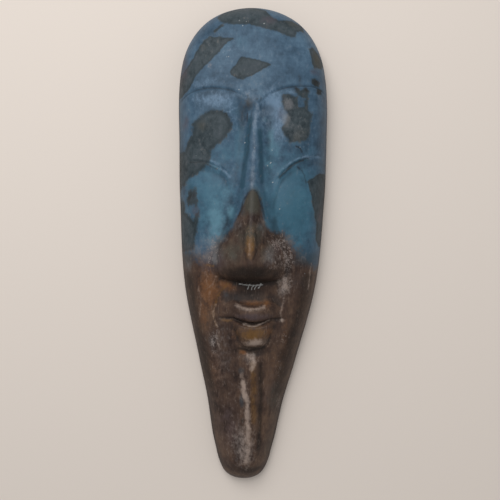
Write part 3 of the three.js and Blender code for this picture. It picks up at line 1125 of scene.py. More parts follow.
    def add_hollow(self, skin: Skin) -> np.ndarray:
        """Adds the hollow with its bar and rounded edge.

        The first and the last row of the hollow's grid are each a single point.

        Args:
            skin: What the points and faces are added to.

        Returns:
            Point numbers of the last ring, which lies on the back plane.
        """
        grid = self.hollow.grid()
        plan = self.outline.plan(*self.outline.disc_of(grid["x"], grid["y"]))
        nothing = np.zeros_like(grid["x"])
        named = {"x": grid["x"], "y": grid["y"], "z": grid["z"],
                 "inward_x": plan.inward_x, "inward_y": plan.inward_y, "depth": plan.depth,
                 "front_fall": nothing, "back_fall": grid["fall"], "shift": grid["shift"],
                 "crease": nothing, "painted": nothing}
        inside = skin.add_points(**{name: value[1:-1] for name, value in named.items()})
        poles = skin.add_points(**{name: value[[0, -1], 0] for name, value in named.items()})
        skin.add_grid(inside, False)
        for pole, row in ((poles[0], inside[0]), (poles[1], inside[-1, ::-1])):
            skin.add_faces(np.stack([np.full(len(row) - 1, pole), row[:-1], row[1:]], axis=1), False)
        rim = np.concatenate([poles[:1], inside[:, -1], poles[1:], inside[::-1, 0]])
        return self.round_off(skin, rim, self.hollow.rim_rounding, self.hollow_turns, False)

    def build(self) -> Skin:
        """The whole shell, closed all round.

        Returns:
            Its points and faces.
        """
        skin = Skin()
        outer = self.add_front(skin)
        inner = self.add_hollow(skin)
        self.zip_rings(skin, outer, inner)
        return skin

    def maps(self, skin: Skin) -> tuple[np.ndarray, np.ndarray]:
        """Two flat maps of the shell side by side: the front, and the rim with the hollow.

        A place on either keeps its X and Y, moved outwards by how far the surface has fallen there
        on its way to the rim. Beyond the bar the hollow's map is pushed along by the bar's sides.

        Args:
            skin: The whole shell.

        Returns:
            Map places from 0 to 1 of every point, on the front's map and on the back's.
        """
        place = self.hollow.row_places()
        at_rim = np.interp(skin.of("y"), place["rim"], place["shift"])
        shift = np.where(skin.of("shift") > 0, skin.of("shift"), at_rim)
        inward = np.stack([skin.of("inward_x"), skin.of("inward_y")], axis=1)
        flat = np.stack([skin.of("x"), skin.of("y")], axis=1)
        front = flat - inward * skin.of("front_fall")[:, None]
        back = flat - inward * skin.of("back_fall")[:, None]
        back[:, 1] += shift
        back[:, 0] *= -1
        corners = [np.concatenate([face.ravel() for face, shown in zip(skin.faces, skin.front)
                                   if shown[0] == wanted]) for wanted in (True, False)]
        left = self.map_gap
        placed = []
        for islands, used in ((front, corners[0]), (back, corners[1])):
            moved = islands - islands[used].min(axis=0) + [left, self.map_gap]
            left = moved[used, 0].max() + self.map_gap
            placed.append(moved)
        side = max(left, *(islands[used, 1].max() + self.map_gap
                           for islands, used in zip(placed, corners)))
        return placed[0] / side, placed[1] / side


class Mark(Enum):
    """Kinds of marks that paint, wear and dirt leave, and painted light and shade, each a value at every
    point, from 0 for none.
    """

    TEAL = "teal"
    AQUA = "aqua"
    PALE = "pale"
    VIOLET = "violet"
    SLATE = "slate"
    OLIVE = "olive"
    DEEP = "deep"
    HAZE = "haze"
    COPPER = "copper"
    GOLD = "gold"
    DARK = "dark"
    CRUST = "crust"
    SCUFF = "scuff"
    CHALK = "chalk"


@dataclass(frozen=True)
class Blot:
    """A soft oval spot, strongest in its middle."""

    x: float
    y: float
    half_width: float
    half_length: float
    strength: float = 1.0
    turn: float = 0.0

    def cover(self, x: np.ndarray, y: np.ndarray) -> np.ndarray:
        """Strength times e to the minus r squared, r the distance in the oval's own radii.

        The oval is turned against the clock by so many degrees.

        Args:
            x: Places across.
            y: Places along.

        Returns:
            The cover at each place.
        """
        turn = math.radians(self.turn)
        across = (x - self.x) * math.cos(turn) + (y - self.y) * math.sin(turn)
        along = (y - self.y) * math.cos(turn) - (x - self.x) * math.sin(turn)
        return self.strength * np.exp(-np.hypot(across / self.half_width, along / self.half_length) ** 2)


@dataclass(frozen=True)
class Stroke:
    """A thin line through a few places: a rubbed or scratched line, or painted shade in a crease or a
    painted highlight on a crest.
    """

    places: tuple[tuple[float, float], ...]
    half_width: float
    strength: float = 1.0

    def cover(self, x: np.ndarray, y: np.ndarray) -> np.ndarray:
        """Strength times a bell of the distance to the line."""
        distances = [leg_distance(x, y, *leg) for leg in zip(self.places, self.places[1:])]
        return self.strength * bell(np.min(distances, axis=0), self.half_width)


@dataclass(frozen=True)
class BarePatch:
    """A straight-sided patch that the blue leaves bare, so that the dark ground coat shows."""

    corners: tuple[tuple[float, float], ...]
    softness: float = 1.0

    def depth(self, x: np.ndarray, y: np.ndarray) -> np.ndarray:
        """Distance to the patch's edge over its softness, above 0 inside.

        A point is inside if a line from it towards +X crosses the edge an odd number of times.

        Args:
            x: Places across.
            y: Places along.

        Returns:
            The depth inside the patch at each place.
        """
        legs = list(zip(self.corners, self.corners[1:] + self.corners[:1]))
        inside = np.zeros(np.shape(x), bool)
        for (start_x, start_y), (end_x, end_y) in legs:
            if start_y != end_y:
                crossing = start_x + (y - start_y) * (end_x - start_x) / (end_y - start_y)
                inside ^= ((start_y > y) != (end_y > y)) & (x < crossing)
        nearest = np.min([leg_distance(x, y, *leg) for leg in legs], axis=0)
        return np.where(inside, nearest, -nearest) / self.softness


def leg_distance(x: np.ndarray, y: np.ndarray, start: tuple[float, float],
                 end: tuple[float, float]) -> np.ndarray:
    """Distance of each place to the straight line between two places.

    Args:
        x: Places across.
        y: Places along.
        start: Where the line starts.
        end: Where it ends.

    Returns:
        The distances.
    """
    run_x, run_y = end[0] - start[0], end[1] - start[1]
    share = ((x - start[0]) * run_x + (y - start[1]) * run_y) / (run_x ** 2 + run_y ** 2)
    share = np.clip(share, 0, 1)
    return np.hypot(x - start[0] - share * run_x, y - start[1] - share * run_y)


@dataclass(frozen=True)
class Wobble:
    """How far a hand strays as it draws, over what size, with the random values for both ways."""

    reach: float
    size: float
    seed_across: int
    seed_along: int


@dataclass(frozen=True)
class PaintLayout:
    """Where the colours, the wear, the dirt and the painted light and shade lie on the front."""

    blue_edge: Stations = Stations(
        (-73, -65, -59, -52, -44, -37, -32, -26, -20, -16, -12, -9.6, -7.4, -5.4, -2.8, 1, 5, 8, 10, 13,
         15, 19, 24, 34, 41, 46, 52, 59, 66, 78),
        (-5, -6, -9, -13, -13, -9, -3, 3, 11, 19, 27, 33, 39, 45, 50, 52.5, 50, 45, 39, 28, 22, 15, 12,
         10, 4, -3, -8, -17, -23, -25))
    edge_wander: float = 0.22
    edge_wander_size: float = 11.0
    edge_wander_seed: int = 5
    edge_ramp: Ramp = Ramp(-0.5, 0.5)
    dark_edge_inside: float = 1.0
    dark_edge_half_width: float = 1.3
    wobbles: tuple[Wobble, ...] = (Wobble(0.6, 7, 11, 13), Wobble(0.35, 2.6, 12, 14))
    blue_softness: Stations = Stations(
        (-78, -40, -24, -14, 2, 13, 24, 36, 78), (24, 22, 13, 6, 4, 6, 12, 18, 22))
    bare_patches: tuple[BarePatch, ...] = (
        BarePatch(((-39, 231), (-34, 223), (-27, 221), (-5, 220.5), (7, 218), (23, 214), (36, 209),
                   (42, 209), (42, 214), (50, 217), (48, 226), (38, 228), (25, 226), (16, 231),
                   (11, 240), (-5, 246), (-21, 242), (-33, 238)), 1.5),
        BarePatch(((-42, 214), (-38, 217), (-33, 221), (-31, 219), (-36, 215), (-40, 212))),
        BarePatch(((-50, 204), (-45, 208), (-39, 207), (-21, 206), (-20, 205), (-27, 201), (-36, 190),
                   (-48, 178), (-59, 167), (-64, 156), (-73, 148), (-80, 150), (-77, 171), (-68, 178),
                   (-59, 191))),
        BarePatch(((-16, 183), (-13, 186), (-8, 186), (8, 182), (16, 180), (17, 178), (5, 171),
                   (-11, 163), (-16, 164), (-22, 167), (-24, 170), (-23, 174), (-18, 178))),
        BarePatch(((55, 198), (59, 201), (66, 196), (72, 187), (69, 180), (60, 178), (58, 184))),
        BarePatch(((58, 166), (62, 168), (66, 165), (66, 160), (62, 160), (58, 162))),
        BarePatch(((64, 158), (70, 158), (70, 152), (64, 153))),
        BarePatch(((29, 148), (35, 150), (40, 148), (44, 147), (45, 137), (51, 138), (52, 146),
                   (47, 148), (42, 151), (42, 156), (46, 154), (52, 157), (55, 154), (55, 142),
                   (56, 135), (60, 131), (58, 123), (57, 114), (56, 105), (48, 103), (37, 102),
                   (34, 107), (29, 113), (28, 116), (32, 120), (35, 128), (31, 135), (29, 141)), 1.7),
        BarePatch(((-50, 130), (-40, 133), (-31, 132), (-26, 129), (-23, 123), (-20, 117), (-24, 110),
                   (-28, 103), (-35, 97), (-40, 93), (-42, 83), (-44, 78), (-50, 72), (-57, 69),
                   (-64, 64), (-69, 58), (-79, 50), (-80, 92), (-69, 94), (-65, 102), (-61, 109),
                   (-61, 119), (-55, 124)), 2.2),
        BarePatch(((-72, 46), (-68, 39), (-68, 31), (-63, 27), (-58, 22), (-56, 28), (-52, 33),
                   (-52, 27), (-54, 13), (-57, -7), (-68, -10), (-79, -8), (-79, 28)), 1.5),
        BarePatch(((-64, 52), (-60, 53), (-57, 56), (-54, 50), (-56, 46), (-53, 42), (-55, 36),
                   (-59, 38), (-63, 36), (-66, 43)), 2.4),
        BarePatch(((56, 65), (62, 68), (69, 73), (82, 75), (84, 0), (70, -2), (67, 7), (67, 20),
                   (64, 35), (61, 49), (58, 59))),
    )
    marks: dict[Mark, tuple[Blot | Stroke, ...]] = field(default_factory=lambda: {
        Mark.TEAL: (
            Blot(-25, 86, 11, 16, 0.6), Blot(16, 66, 10, 26, 0.6), Blot(-42, 50, 34, 50, 0.8),
            Blot(40, 36, 38, 60, 0.95), Blot(-14, 92, 9, 40, 0.6), Blot(20, 84, 12, 30, 0.7),
            Blot(-20, 200, 30, 18, 0.3)),
        Mark.AQUA: (
            Blot(-34, 18, 12, 26, 1.0), Blot(-26, 44, 7, 22, 0.5), Blot(17, 104, 6, 18, 0.65),
            Blot(17, 78, 5, 18, 0.6), Blot(-20, 31, 6, 10, 0.9), Blot(17, 50, 4, 12, 0.4),
            Blot(27, 88, 9, 14, 0.4), Blot(12, 124, 5, 5, 0.5), Blot(-31, 74, 12, 8, 0.35),
            Blot(50, 46, 12, 26, 0.25)),
        # Pale blue-grey paint, and painted light: a painted sheen in the sockets under the brows, and
        # painted highlights along the lid rolls and the nose's crest.
        Mark.PALE: (
            Blot(-38, 143, 22, 8, 0.9), Blot(-22, 139, 8, 8, 0.7), Blot(20, 138, 12, 15, 1.25),
            Blot(27, 122, 9, 22, 0.85), Blot(58, 196, 8, 16, 0.4), Blot(-36, 8, 10, 22, 0.35),
            Blot(38, 152, 12, 4, 0.6), Blot(-48, 160, 22, 7, 0.5, 10), Blot(-30, 196, 18, 12, 0.35),
            Stroke(((-42, 83), (-37, 80), (-31, 76), (-26, 71), (-22, 66.5)), 1.8, 0.7),
            Stroke(((32, 75), (38, 81), (45, 86), (53, 88.2), (69, 90)), 1.5, 0.65),
            Blot(14, 122, 8, 13, 0.6), Blot(-2, 152, 20, 7, 0.4), Blot(-4, 124, 9, 14, 0.35),
            Stroke(((5, 138), (3.6, 126), (2, 114)), 3.2, 0.75),
            Stroke(((2, 114), (2, 92), (1, 74), (1, 58)), 2.2, 0.5), Blot(-7.2, 145.6, 2, 1.2, 0.6),
            Blot(8.8, 142.6, 1.4, 2, 0.7), Blot(-56, 144, 12, 7, 0.6), Blot(-20, 122, 8, 14, 0.5),
            Stroke(((-29, 131), (-24, 130), (-20, 133), (-15, 136)), 0.9, 0.8),
            Stroke(((-60, 109), (-62, 100)), 1.2, 0.8), Stroke(((-64, 106), (-65, 101)), 0.9, 0.6)),
        # Purple-brown tints; the long blot down the left edge darkens the side wall there as painted shade.
        Mark.VIOLET: (
            Blot(-36, -16, 16, 14, 1.0), Blot(27, -4, 10, 8, 0.6), Blot(-73, 182, 6, 26, 0.9),
            Blot(14, 226, 14, 8, 0.7), Blot(-18, -188, 15, 30, 0.6), Blot(26, -150, 14, 30, 0.5),
            Blot(-4, 139, 10, 7, 0.5), Blot(27, 130, 9, 14, 0.5), Blot(36, 139, 8, 9, 0.6),
            Blot(72, 30, 5, 14, 0.7), Blot(-68, 122, 5, 10, 0.8), Blot(-56, 33, 6, 7, 0.9),
            Blot(4, -73, 22, 5, 0.8), Blot(-44, -168, 9, 20, 0.6), Blot(62, 174, 8, 5, 0.7),
            Blot(60, 84, 14, 6, 0.5)),
        Mark.SLATE: (
            Blot(38, 42, 26, 44, 0.4), Blot(-4, 175, 17, 8, 0.8), Blot(9, 16, 5, 8, 0.6),
            Blot(-15, 16, 5, 6, 0.5), Blot(-8, 33, 5, 9, 0.7), Blot(11, 34, 5, 9, 0.7),
            Blot(58, -14, 22, 12, 0.9), Blot(-64, -16, 12, 14, 0.9), Blot(52, -40, 14, 22, 0.5),
            Blot(-24, -52, 5, 6, 0.8), Blot(-5, -160, 3, 9, 0.9), Blot(-6, -128, 5, 6, 0.7),
            Blot(-36, -100, 8, 14, 0.6), Blot(34, -190, 6, 40, 0.3)),
        Mark.OLIVE: (
            Blot(1.5, 40, 8, 13, 1.5), Blot(-4, 139, 8, 7, 0.55), Blot(-50, 116, 9, 7, 0.6),
            Blot(46, 110, 12, 10, 0.5), Blot(-52, 198, 8, 10, 0.4), Blot(64, 188, 7, 14, 0.8),
            Blot(36, 224, 12, 8, 0.6), Blot(-18, -10, 15, 14, 0.75), Blot(16, -8, 13, 16, 0.6),
            Blot(0, 8, 16, 16, 0.8), Blot(28, -210, 10, 22, 0.5), Blot(28, -160, 9, 26, 0.6)),
        # Deep blue-green, mostly painted shade: in the hollows beside the nose, in the right lid's crease,
        # by the inner corners of the sockets and down both side walls.
        Mark.DEEP: (
            Stroke(((-2.4, 124), (-3.8, 110), (-5.4, 98), (-6.2, 83), (-7.8, 68),
                (-9.4, 56)), 3.1, 1.3),
            Stroke(((-9.4, 56), (-12.5, 42), (-16.5, 29), (-19, 20)), 3.4, 0.6),
            Stroke(((7.6, 112), (8.2, 92), (9.4, 76), (10.2, 62)), 2.9, 1.15),
            Stroke(((10.2, 62), (13, 47), (16, 32), (20, 22)), 2.8, 0.55), Blot(-61, 55, 6, 5, 0.7),
            Blot(38, 60, 10, 16, 0.4),
            Stroke(((28, 66.5), (33, 72), (38, 77.3), (43, 81.2), (48, 84), (56, 85.6)), 1.7, 1.3),
            Blot(-16, 140, 6, 9, 0.4, -30), Blot(-10, 122, 6, 12, 0.2), Blot(57, 70, 4, 7, 0.4),
            Blot(-74, 120, 4, 60, 0.5), Blot(73, 130, 4, 60, 0.35)),
        # Grey haze of worn paint; the strokes down the nose's crest are partly worn paint and partly a
        # painted highlight.
        Mark.HAZE: (
            Stroke(((4.4, 137), (3, 125), (1.8, 112)), 3.0, 0.6), Blot(35, 139, 6, 8, 1.0),
            Blot(33, 124, 5, 8, 1.2), Blot(45, 112, 14, 16, 0.5), Blot(-35, -14, 5, 9, 1.3),
            Blot(-43, -13, 8, 10, 0.9), Blot(-54, -9, 9, 9, 0.7), Blot(-63, -24, 5, 10, 0.7),
            Stroke(((1.8, 112), (2, 92)), 2.0, 0.6), Stroke(((2, 92), (1, 76)), 2.6, 0.45),
            Stroke(((1, 76), (1, 54)), 3.2, 0.65), Blot(-37, -3, 7, 15, 1.0, 30),
            Blot(-30, 4, 8, 6, 0.7), Blot(11, 20, 6, 13, 0.65), Blot(-13, 20, 6, 10, 0.6),
            Blot(18, -12, 10, 11, 0.8), Blot(38, 4, 10, 9, 0.6), Blot(52, -12, 8, 8, 0.5),
            Blot(-45, 0, 8, 14, 0.6), Blot(10, 128, 6, 9, 0.6), Blot(-3, 146, 16, 10, 0.5),
            Blot(-8, 120, 9, 18, 0.35), Blot(-3, 160, 22, 18, 0.3), Blot(34, -44, 5, 12, 0.7),
            Blot(-40, 200, 26, 20, 0.25), Blot(-4, -206, 14, 30, 0.6), Blot(3, -116, 8, 8, 0.5),
            Blot(-36, -98, 8, 18, 0.35), Blot(-27, -116, 14, 44, 0.42), Blot(-16, -150, 16, 40, 0.2),
            Blot(-52, 96, 3, 14, 0.3, 20)),
        # Rubbed copper; the narrow blot down the nose's back is partly copper and partly a painted
        # highlight.
        Mark.COPPER: (
            Blot(-0.6, -1, 2.6, 10, 0.8), Blot(5, -59, 15, 3, 1.0), Blot(-40, -46, 13, 22, 1.15, 6),
            Blot(-24, -42, 11, 6, 1.1, -14), Blot(-46, -70, 9, 26, 0.75), Blot(17, -59, 6, 5, 1.0),
            Blot(-5, -110, 4, 3, 1.3), Blot(26, -120, 12, 26, 0.35), Blot(38, -95, 6, 30, 0.5),
            Blot(20, -88, 5, 9, 0.8), Blot(-34, -130, 13, 28, 0.5), Blot(-14, -92, 5, 12, 0.5)),
        Mark.GOLD: (
            Blot(0, -3, 5.4, 13, 1.15), Blot(1, 14, 9, 8, 0.5), Blot(12, -8, 8, 14, 0.5),
            Blot(4, -90, 17, 9, 1.0), Blot(4, -92, 9, 4, 1.4), Blot(-40, -23, 8, 2, 0.8),
            Blot(-22, -77.5, 7, 2, 0.9),
            Stroke(((5, -120), (5.6, -135), (6.8, -147), (6, -159), (7.4, -171),
                (7.5, -180)), 4.4, 0.75),
            Stroke(((-22, -40), (-29, -49), (-34, -60), (-36, -69), (-36, -77),
                (-32, -84)), 1.6, 0.75)),
        # Dark brown paint spots, the nose wedge's outline and the borders of the nose's back, and painted
        # shade: under the nose, its lobes and the lower lip, at the chin's tip, in the lid creases, on the
        # nose's upper flanks and down the right side of the chin ridge. The broad strokes down the lower
        # sides darken the face towards its edges.
        Mark.DARK: (
            Stroke(((-29, -3), (-31.8, -13), (-32.6, -23), (-30.5, -31.5), (-23.5, -35.5)), 2.0, 0.7),
            Blot(-12.5, 139, 4.4, 8, 0.5), Blot(-5, 135.5, 7, 5, 0.6), Blot(1, 138.5, 4.5, 2.4, 0.6),
            Blot(3.8, 143, 1.4, 2, 0.7), Blot(7.6, 144, 1.4, 2.4, 0.8),
            Blot(-5.3, 146.8, 1.4, 1.6, 0.7), Stroke(((-5.9, 130), (-5.8, 122)), 1.4, 0.8),
            Stroke(((-1, 132), (-1.2, 126)), 1.6, 0.6), Stroke(((-10.5, 132), (-10.8, 120)), 1.5, 0.5),
            Blot(46, 165, 4, 8, 0.6), Blot(42, 155, 5, 4, 0.8), Blot(52, 155, 4, 4, 0.8),
            Blot(62, 164, 6, 4, 0.9), Blot(67, 155, 4, 3, 0.8), Blot(-61, 47, 6, 6, 0.7),
            Blot(2, -50, 17, 9, 0.8), Blot(2, -234, 20, 6, 0.9), Blot(0, -28, 34, 8, 1.1),
            Blot(0, -36, 30, 5, 1.2), Stroke(((-17, 147), (-12, 144), (-6, 141.5)), 1.7, 0.5),
            Stroke(((6, 140), (10, 144), (15, 148)), 1.6, 0.5),
            Stroke(((-12.2, 26), (-10, 32), (-8, 39), (-5.8, 45), (-3, 50), (1, 53), (5, 51), (8.4, 45),
                (10.6, 39), (12.4, 32), (14.6, 25)), 1.7, 0.75),
            Stroke(((28, 66.5), (33, 72), (38, 77.3), (43, 81.2), (48, 84), (52, 85)), 1.3, 0.85),
            Stroke(((-62, 81), (-53, 81), (-46, 79), (-41, 77), (-35, 74)), 1.5, 0.7),
            Stroke(((-6, 12), (-6.6, 2), (-5.4, -8), (-3.6, -15)), 2.0, 0.7),
            Stroke(((4.6, 12), (6, 2), (5.6, -8), (3.4, -15)), 2.0, 0.8),
            Stroke(((-62, -36), (-57, -66), (-48, -106), (-39, -146)), 7.5, 0.85),
            Stroke(((59, -34), (54, -60), (47, -86), (38, -116), (32, -150)), 9.5, 0.8),
            Blot(26, -112, 12, 26, 0.3),
            Stroke(((-2.4, 118), (-3.4, 104), (-5, 90), (-8, 74)), 1.7, 0.5),
            Stroke(((44, 99), (48, 97), (50, 93)), 1.3, 0.9),
            Stroke(((46.5, 78), (50.5, 75), (53, 70), (55, 63)), 1.5, 0.75),
            Stroke(((-32, 131), (-26, 127), (-22, 126)), 1.0, 0.8),
            Stroke(((12, -121), (14, -156), (13, -210)), 3.6, 0.85),
            Stroke(((-10, -106), (4, -107), (16, -104)), 2.0, 0.9), Blot(-4, -180, 2.4, 3, 1.2),
            Blot(0, -187, 1.8, 1.8, 1.3)),
        Mark.CRUST: (
            Blot(28, 0, 11, 12, 1.1), Blot(36, -14, 9, 16, 1.2), Blot(24, -20, 9, 9, 0.75),
            Blot(38, -40, 9, 12, 1.0), Blot(-41, -30, 8, 6, 0.55), Blot(-36, -98, 8, 16, 1.0),
            Blot(-37, -4, 8, 14, 0.8), Blot(34, -164, 6, 20, 0.6), Blot(-8, 226, 12, 5, 0.6),
            Blot(-36, -128, 6, 8, 0.5), Blot(-37, 74, 8, 4, 0.75), Blot(-38, -14, 8, 12, 0.8),
            Blot(46, 126, 8, 10, 0.25), Blot(36, -96, 6, 8, 0.6), Blot(32, -126, 5, 20, 0.6),
            Blot(6, -116, 8, 6, 0.6)),
        # Pale scuffs of worn paint on the high places, and a painted highlight on the tip of the nose.
        Mark.SCUFF: (
            Stroke(((0, -112), (4, -114), (6, -119), (4, -125)), 3.6, 0.85),
            Blot(-5.4, -134.5, 2.6, 4.5, 0.7),
            Stroke(((-3.3, -140), (-4, -147), (-2.1, -154), (0, -159)), 3.4, 1.1),
            Stroke(((0, -159), (0.3, -169), (1.5, -181)), 3.0, 0.95),
            Stroke(((1.5, -181), (1.7, -190), (2, -203), (2.3, -216), (0.5, -224)), 4.0, 0.85),
            Blot(0, -206, 9, 28, 0.7), Blot(-12, -200, 9, 26, 0.3),
            Stroke(((-12.8, -61.5), (-9, -63), (-3, -64.6), (4, -65), (10, -64), (15, -62)), 1.7, 0.85),
            Stroke(((-5, -80), (-1, -81.6), (3.5, -82.2), (9, -81), (14, -78.6), (21, -76)), 0.9, 1.0),
            Blot(7, -98.5, 11, 4.2, 1.3, 6),
            Stroke(((-34, -62), (-36, -69), (-36, -77), (-31, -85)), 1.2, 0.6),
            Stroke(((35, -53), (32, -68), (34, -78)), 1.6, 0.5), Blot(33.5, -76, 1.6, 2.2, 1.0),
            # The two small blots at the nose's tip, the last on this line and the first on the next, are a
            # painted highlight.
            Stroke(((62.5, -18), (61.5, -31), (60.5, -45)), 0.9, 0.7), Blot(-1.1, -3.4, 1.2, 4.4, 0.6),
            Blot(-1, -10.4, 1.5, 1.6, 0.5), Blot(0, 15, 8, 8, 0.2),
            Stroke(((-44, -36), (-40, -48), (-41, -58)), 1.3, 0.35),
            Stroke(((-34, -34), (-38, -42), (-44, -47)), 1.3, 0.45),
            Stroke(((-52, -44), (-49, -60), (-50, -76)), 1.3, 0.4),
            Stroke(((-45, -30), (-42, -36), (-35, -40)), 1.3, 0.35),
            Stroke(((-30, -90), (-31, -100), (-29, -108)), 1.3, 0.5), Blot(36, -40, 7, 13, 0.75),
            Blot(-44, 178, 3, 5, 0.3)),
        Mark.CHALK: (
            Stroke(((-10.5, -40.4), (-5, -41.2), (-1, -41.8), (4.6, -42.4), (9, -41.6),
                (12.6, -40.4)), 0.75, 0.9),
            *(Stroke(((x, y), (x + 2.4, y + 5.2)), 0.7, 0.85) for x, y in ((-1.8, -46), (1.8, -46.8),
                (5.4, -45.8), (9, -44.8))),
            *(Blot(x, y, 0.9, 0.9, 0.95) for x, y in ((-14.4, 152.9), (-7.8, 100.2), (1.8, 94.5),
                (19.7, 93.8), (16, 78.8), (19, 81), (21.4, 62), (27.9, 35.2), (-15.9, 225.5),
                (-7.9, 223), (9.1, 222), (-27, 185.6), (-25, 186.6), (-11.8, 219)))),
    })

    def brown(self, x: np.ndarray, y: np.ndarray) -> np.ndarray:
        """Share of brown over blue: 0 well above the blue's edge and 1 well below it.

        The distance to the edge is the height below it, less where the edge is steep.

        Args:
            x: Places across.
            y: Places along.

        Returns:
            The share at each place.
        """
        slope = (self.blue_edge.at(x + 1) - self.blue_edge.at(x - 1)) / 2
        below = (self.blue_edge.at(x) - y) / np.hypot(1, slope) / self.blue_softness.at(x)
        stray = self.edge_wander * wander(x, y, self.edge_wander_size, self.edge_wander_seed)
        return self.edge_ramp.at(below + stray)

    def values(self, x: np.ndarray, y: np.ndarray) -> dict[str, np.ndarray]:
        """Every named value that the paint reads, at places of the front.

        Args:
            x: Places across.
            y: Places along.

        Returns:
            The share of brown, the depth inside a bare patch, the dark band just inside its edge, and
            the marks, each the strongest of its blots and strokes.
        """
        drawn_x, drawn_y = x, y
        for wobble in self.wobbles:
            drawn_x = drawn_x + wobble.reach * wander(x, y, wobble.size, wobble.seed_across)
            drawn_y = drawn_y + wobble.reach * wander(x, y, wobble.size, wobble.seed_along)
        depth = np.max([patch.depth(drawn_x, drawn_y) for patch in self.bare_patches], axis=0)
        found = {"brown": self.brown(x, y), "bare_depth": depth,
                 "bare_edge": bell(depth - self.dark_edge_inside, self.dark_edge_half_width)}
        for mark, spots in self.marks.items():
            found[mark.value] = np.max([spot.cover(drawn_x, drawn_y) for spot in spots], axis=0)
        return found


def linear(colour: str) -> tuple[float, float, float, float]:
    """Linear colour, with alpha 1, of an sRGB hex value such as #40362e."""
    parts = [int(colour[i:i + 2], 16) / 255 for i in (1, 3, 5)]
    return *((p / 12.92 if p <= 0.04045 else ((p + 0.055) / 1.055) ** 2.4) for p in parts), 1.0


def add_node(tree: bpy.types.NodeTree, kind: str, inputs: dict | None = None,
             **settings: object) -> bpy.types.Node:
    """Adds a node to a material.

    Args:
        tree: The material's node tree.
        kind: The node's type, as its name after ShaderNode.
        inputs: For input names or numbers, a value to set or a socket to link.
        **settings: Properties of the node.

    Returns:
        The node.
    """
    made = tree.nodes.new(f"ShaderNode{kind}")
    for name, value in settings.items():
        setattr(made, name, value)
    for name, value in (inputs or {}).items():
        if isinstance(value, bpy.types.NodeSocket):
            tree.links.new(value, made.inputs[name])
        else:
            made.inputs[name].default_value = value
    return made


@dataclass(frozen=True)
class Grain:
    """A random pattern: its size across and along in millimetres, and how rough it is."""

    size: float
    size_along: float
    detail: float
    roughness: float


@dataclass(frozen=True)
class Tone:
    """Three colours, dark to light, mixed by random patterns, each with its weight."""

    colours: tuple[str, str, str]
    weights: dict[str, float]


@dataclass(frozen=True)
class Coat:
    """One film of paint, wear, dirt or painted light and shade, with what it does to colour, gloss and
    height.

    It lies where a value of the mesh, moved by so much of a random pattern, passes from low to high.
    Its colour is a hex value or the name of a tone.
    """

    value: str
    grain: str
    amount: float
    low: float
    high: float
    colour: str
    roughness: float
    height: float = 0.0
    cover: float = 1.0


@dataclass(frozen=True)
class Film:
    """What shows on the clay so far: its colour, its roughness and its height in millimetres."""

    colour: bpy.types.NodeSocket | tuple[float, float, float, float]
    roughness: bpy.types.NodeSocket | float
    height: bpy.types.NodeSocket | float = 0.0


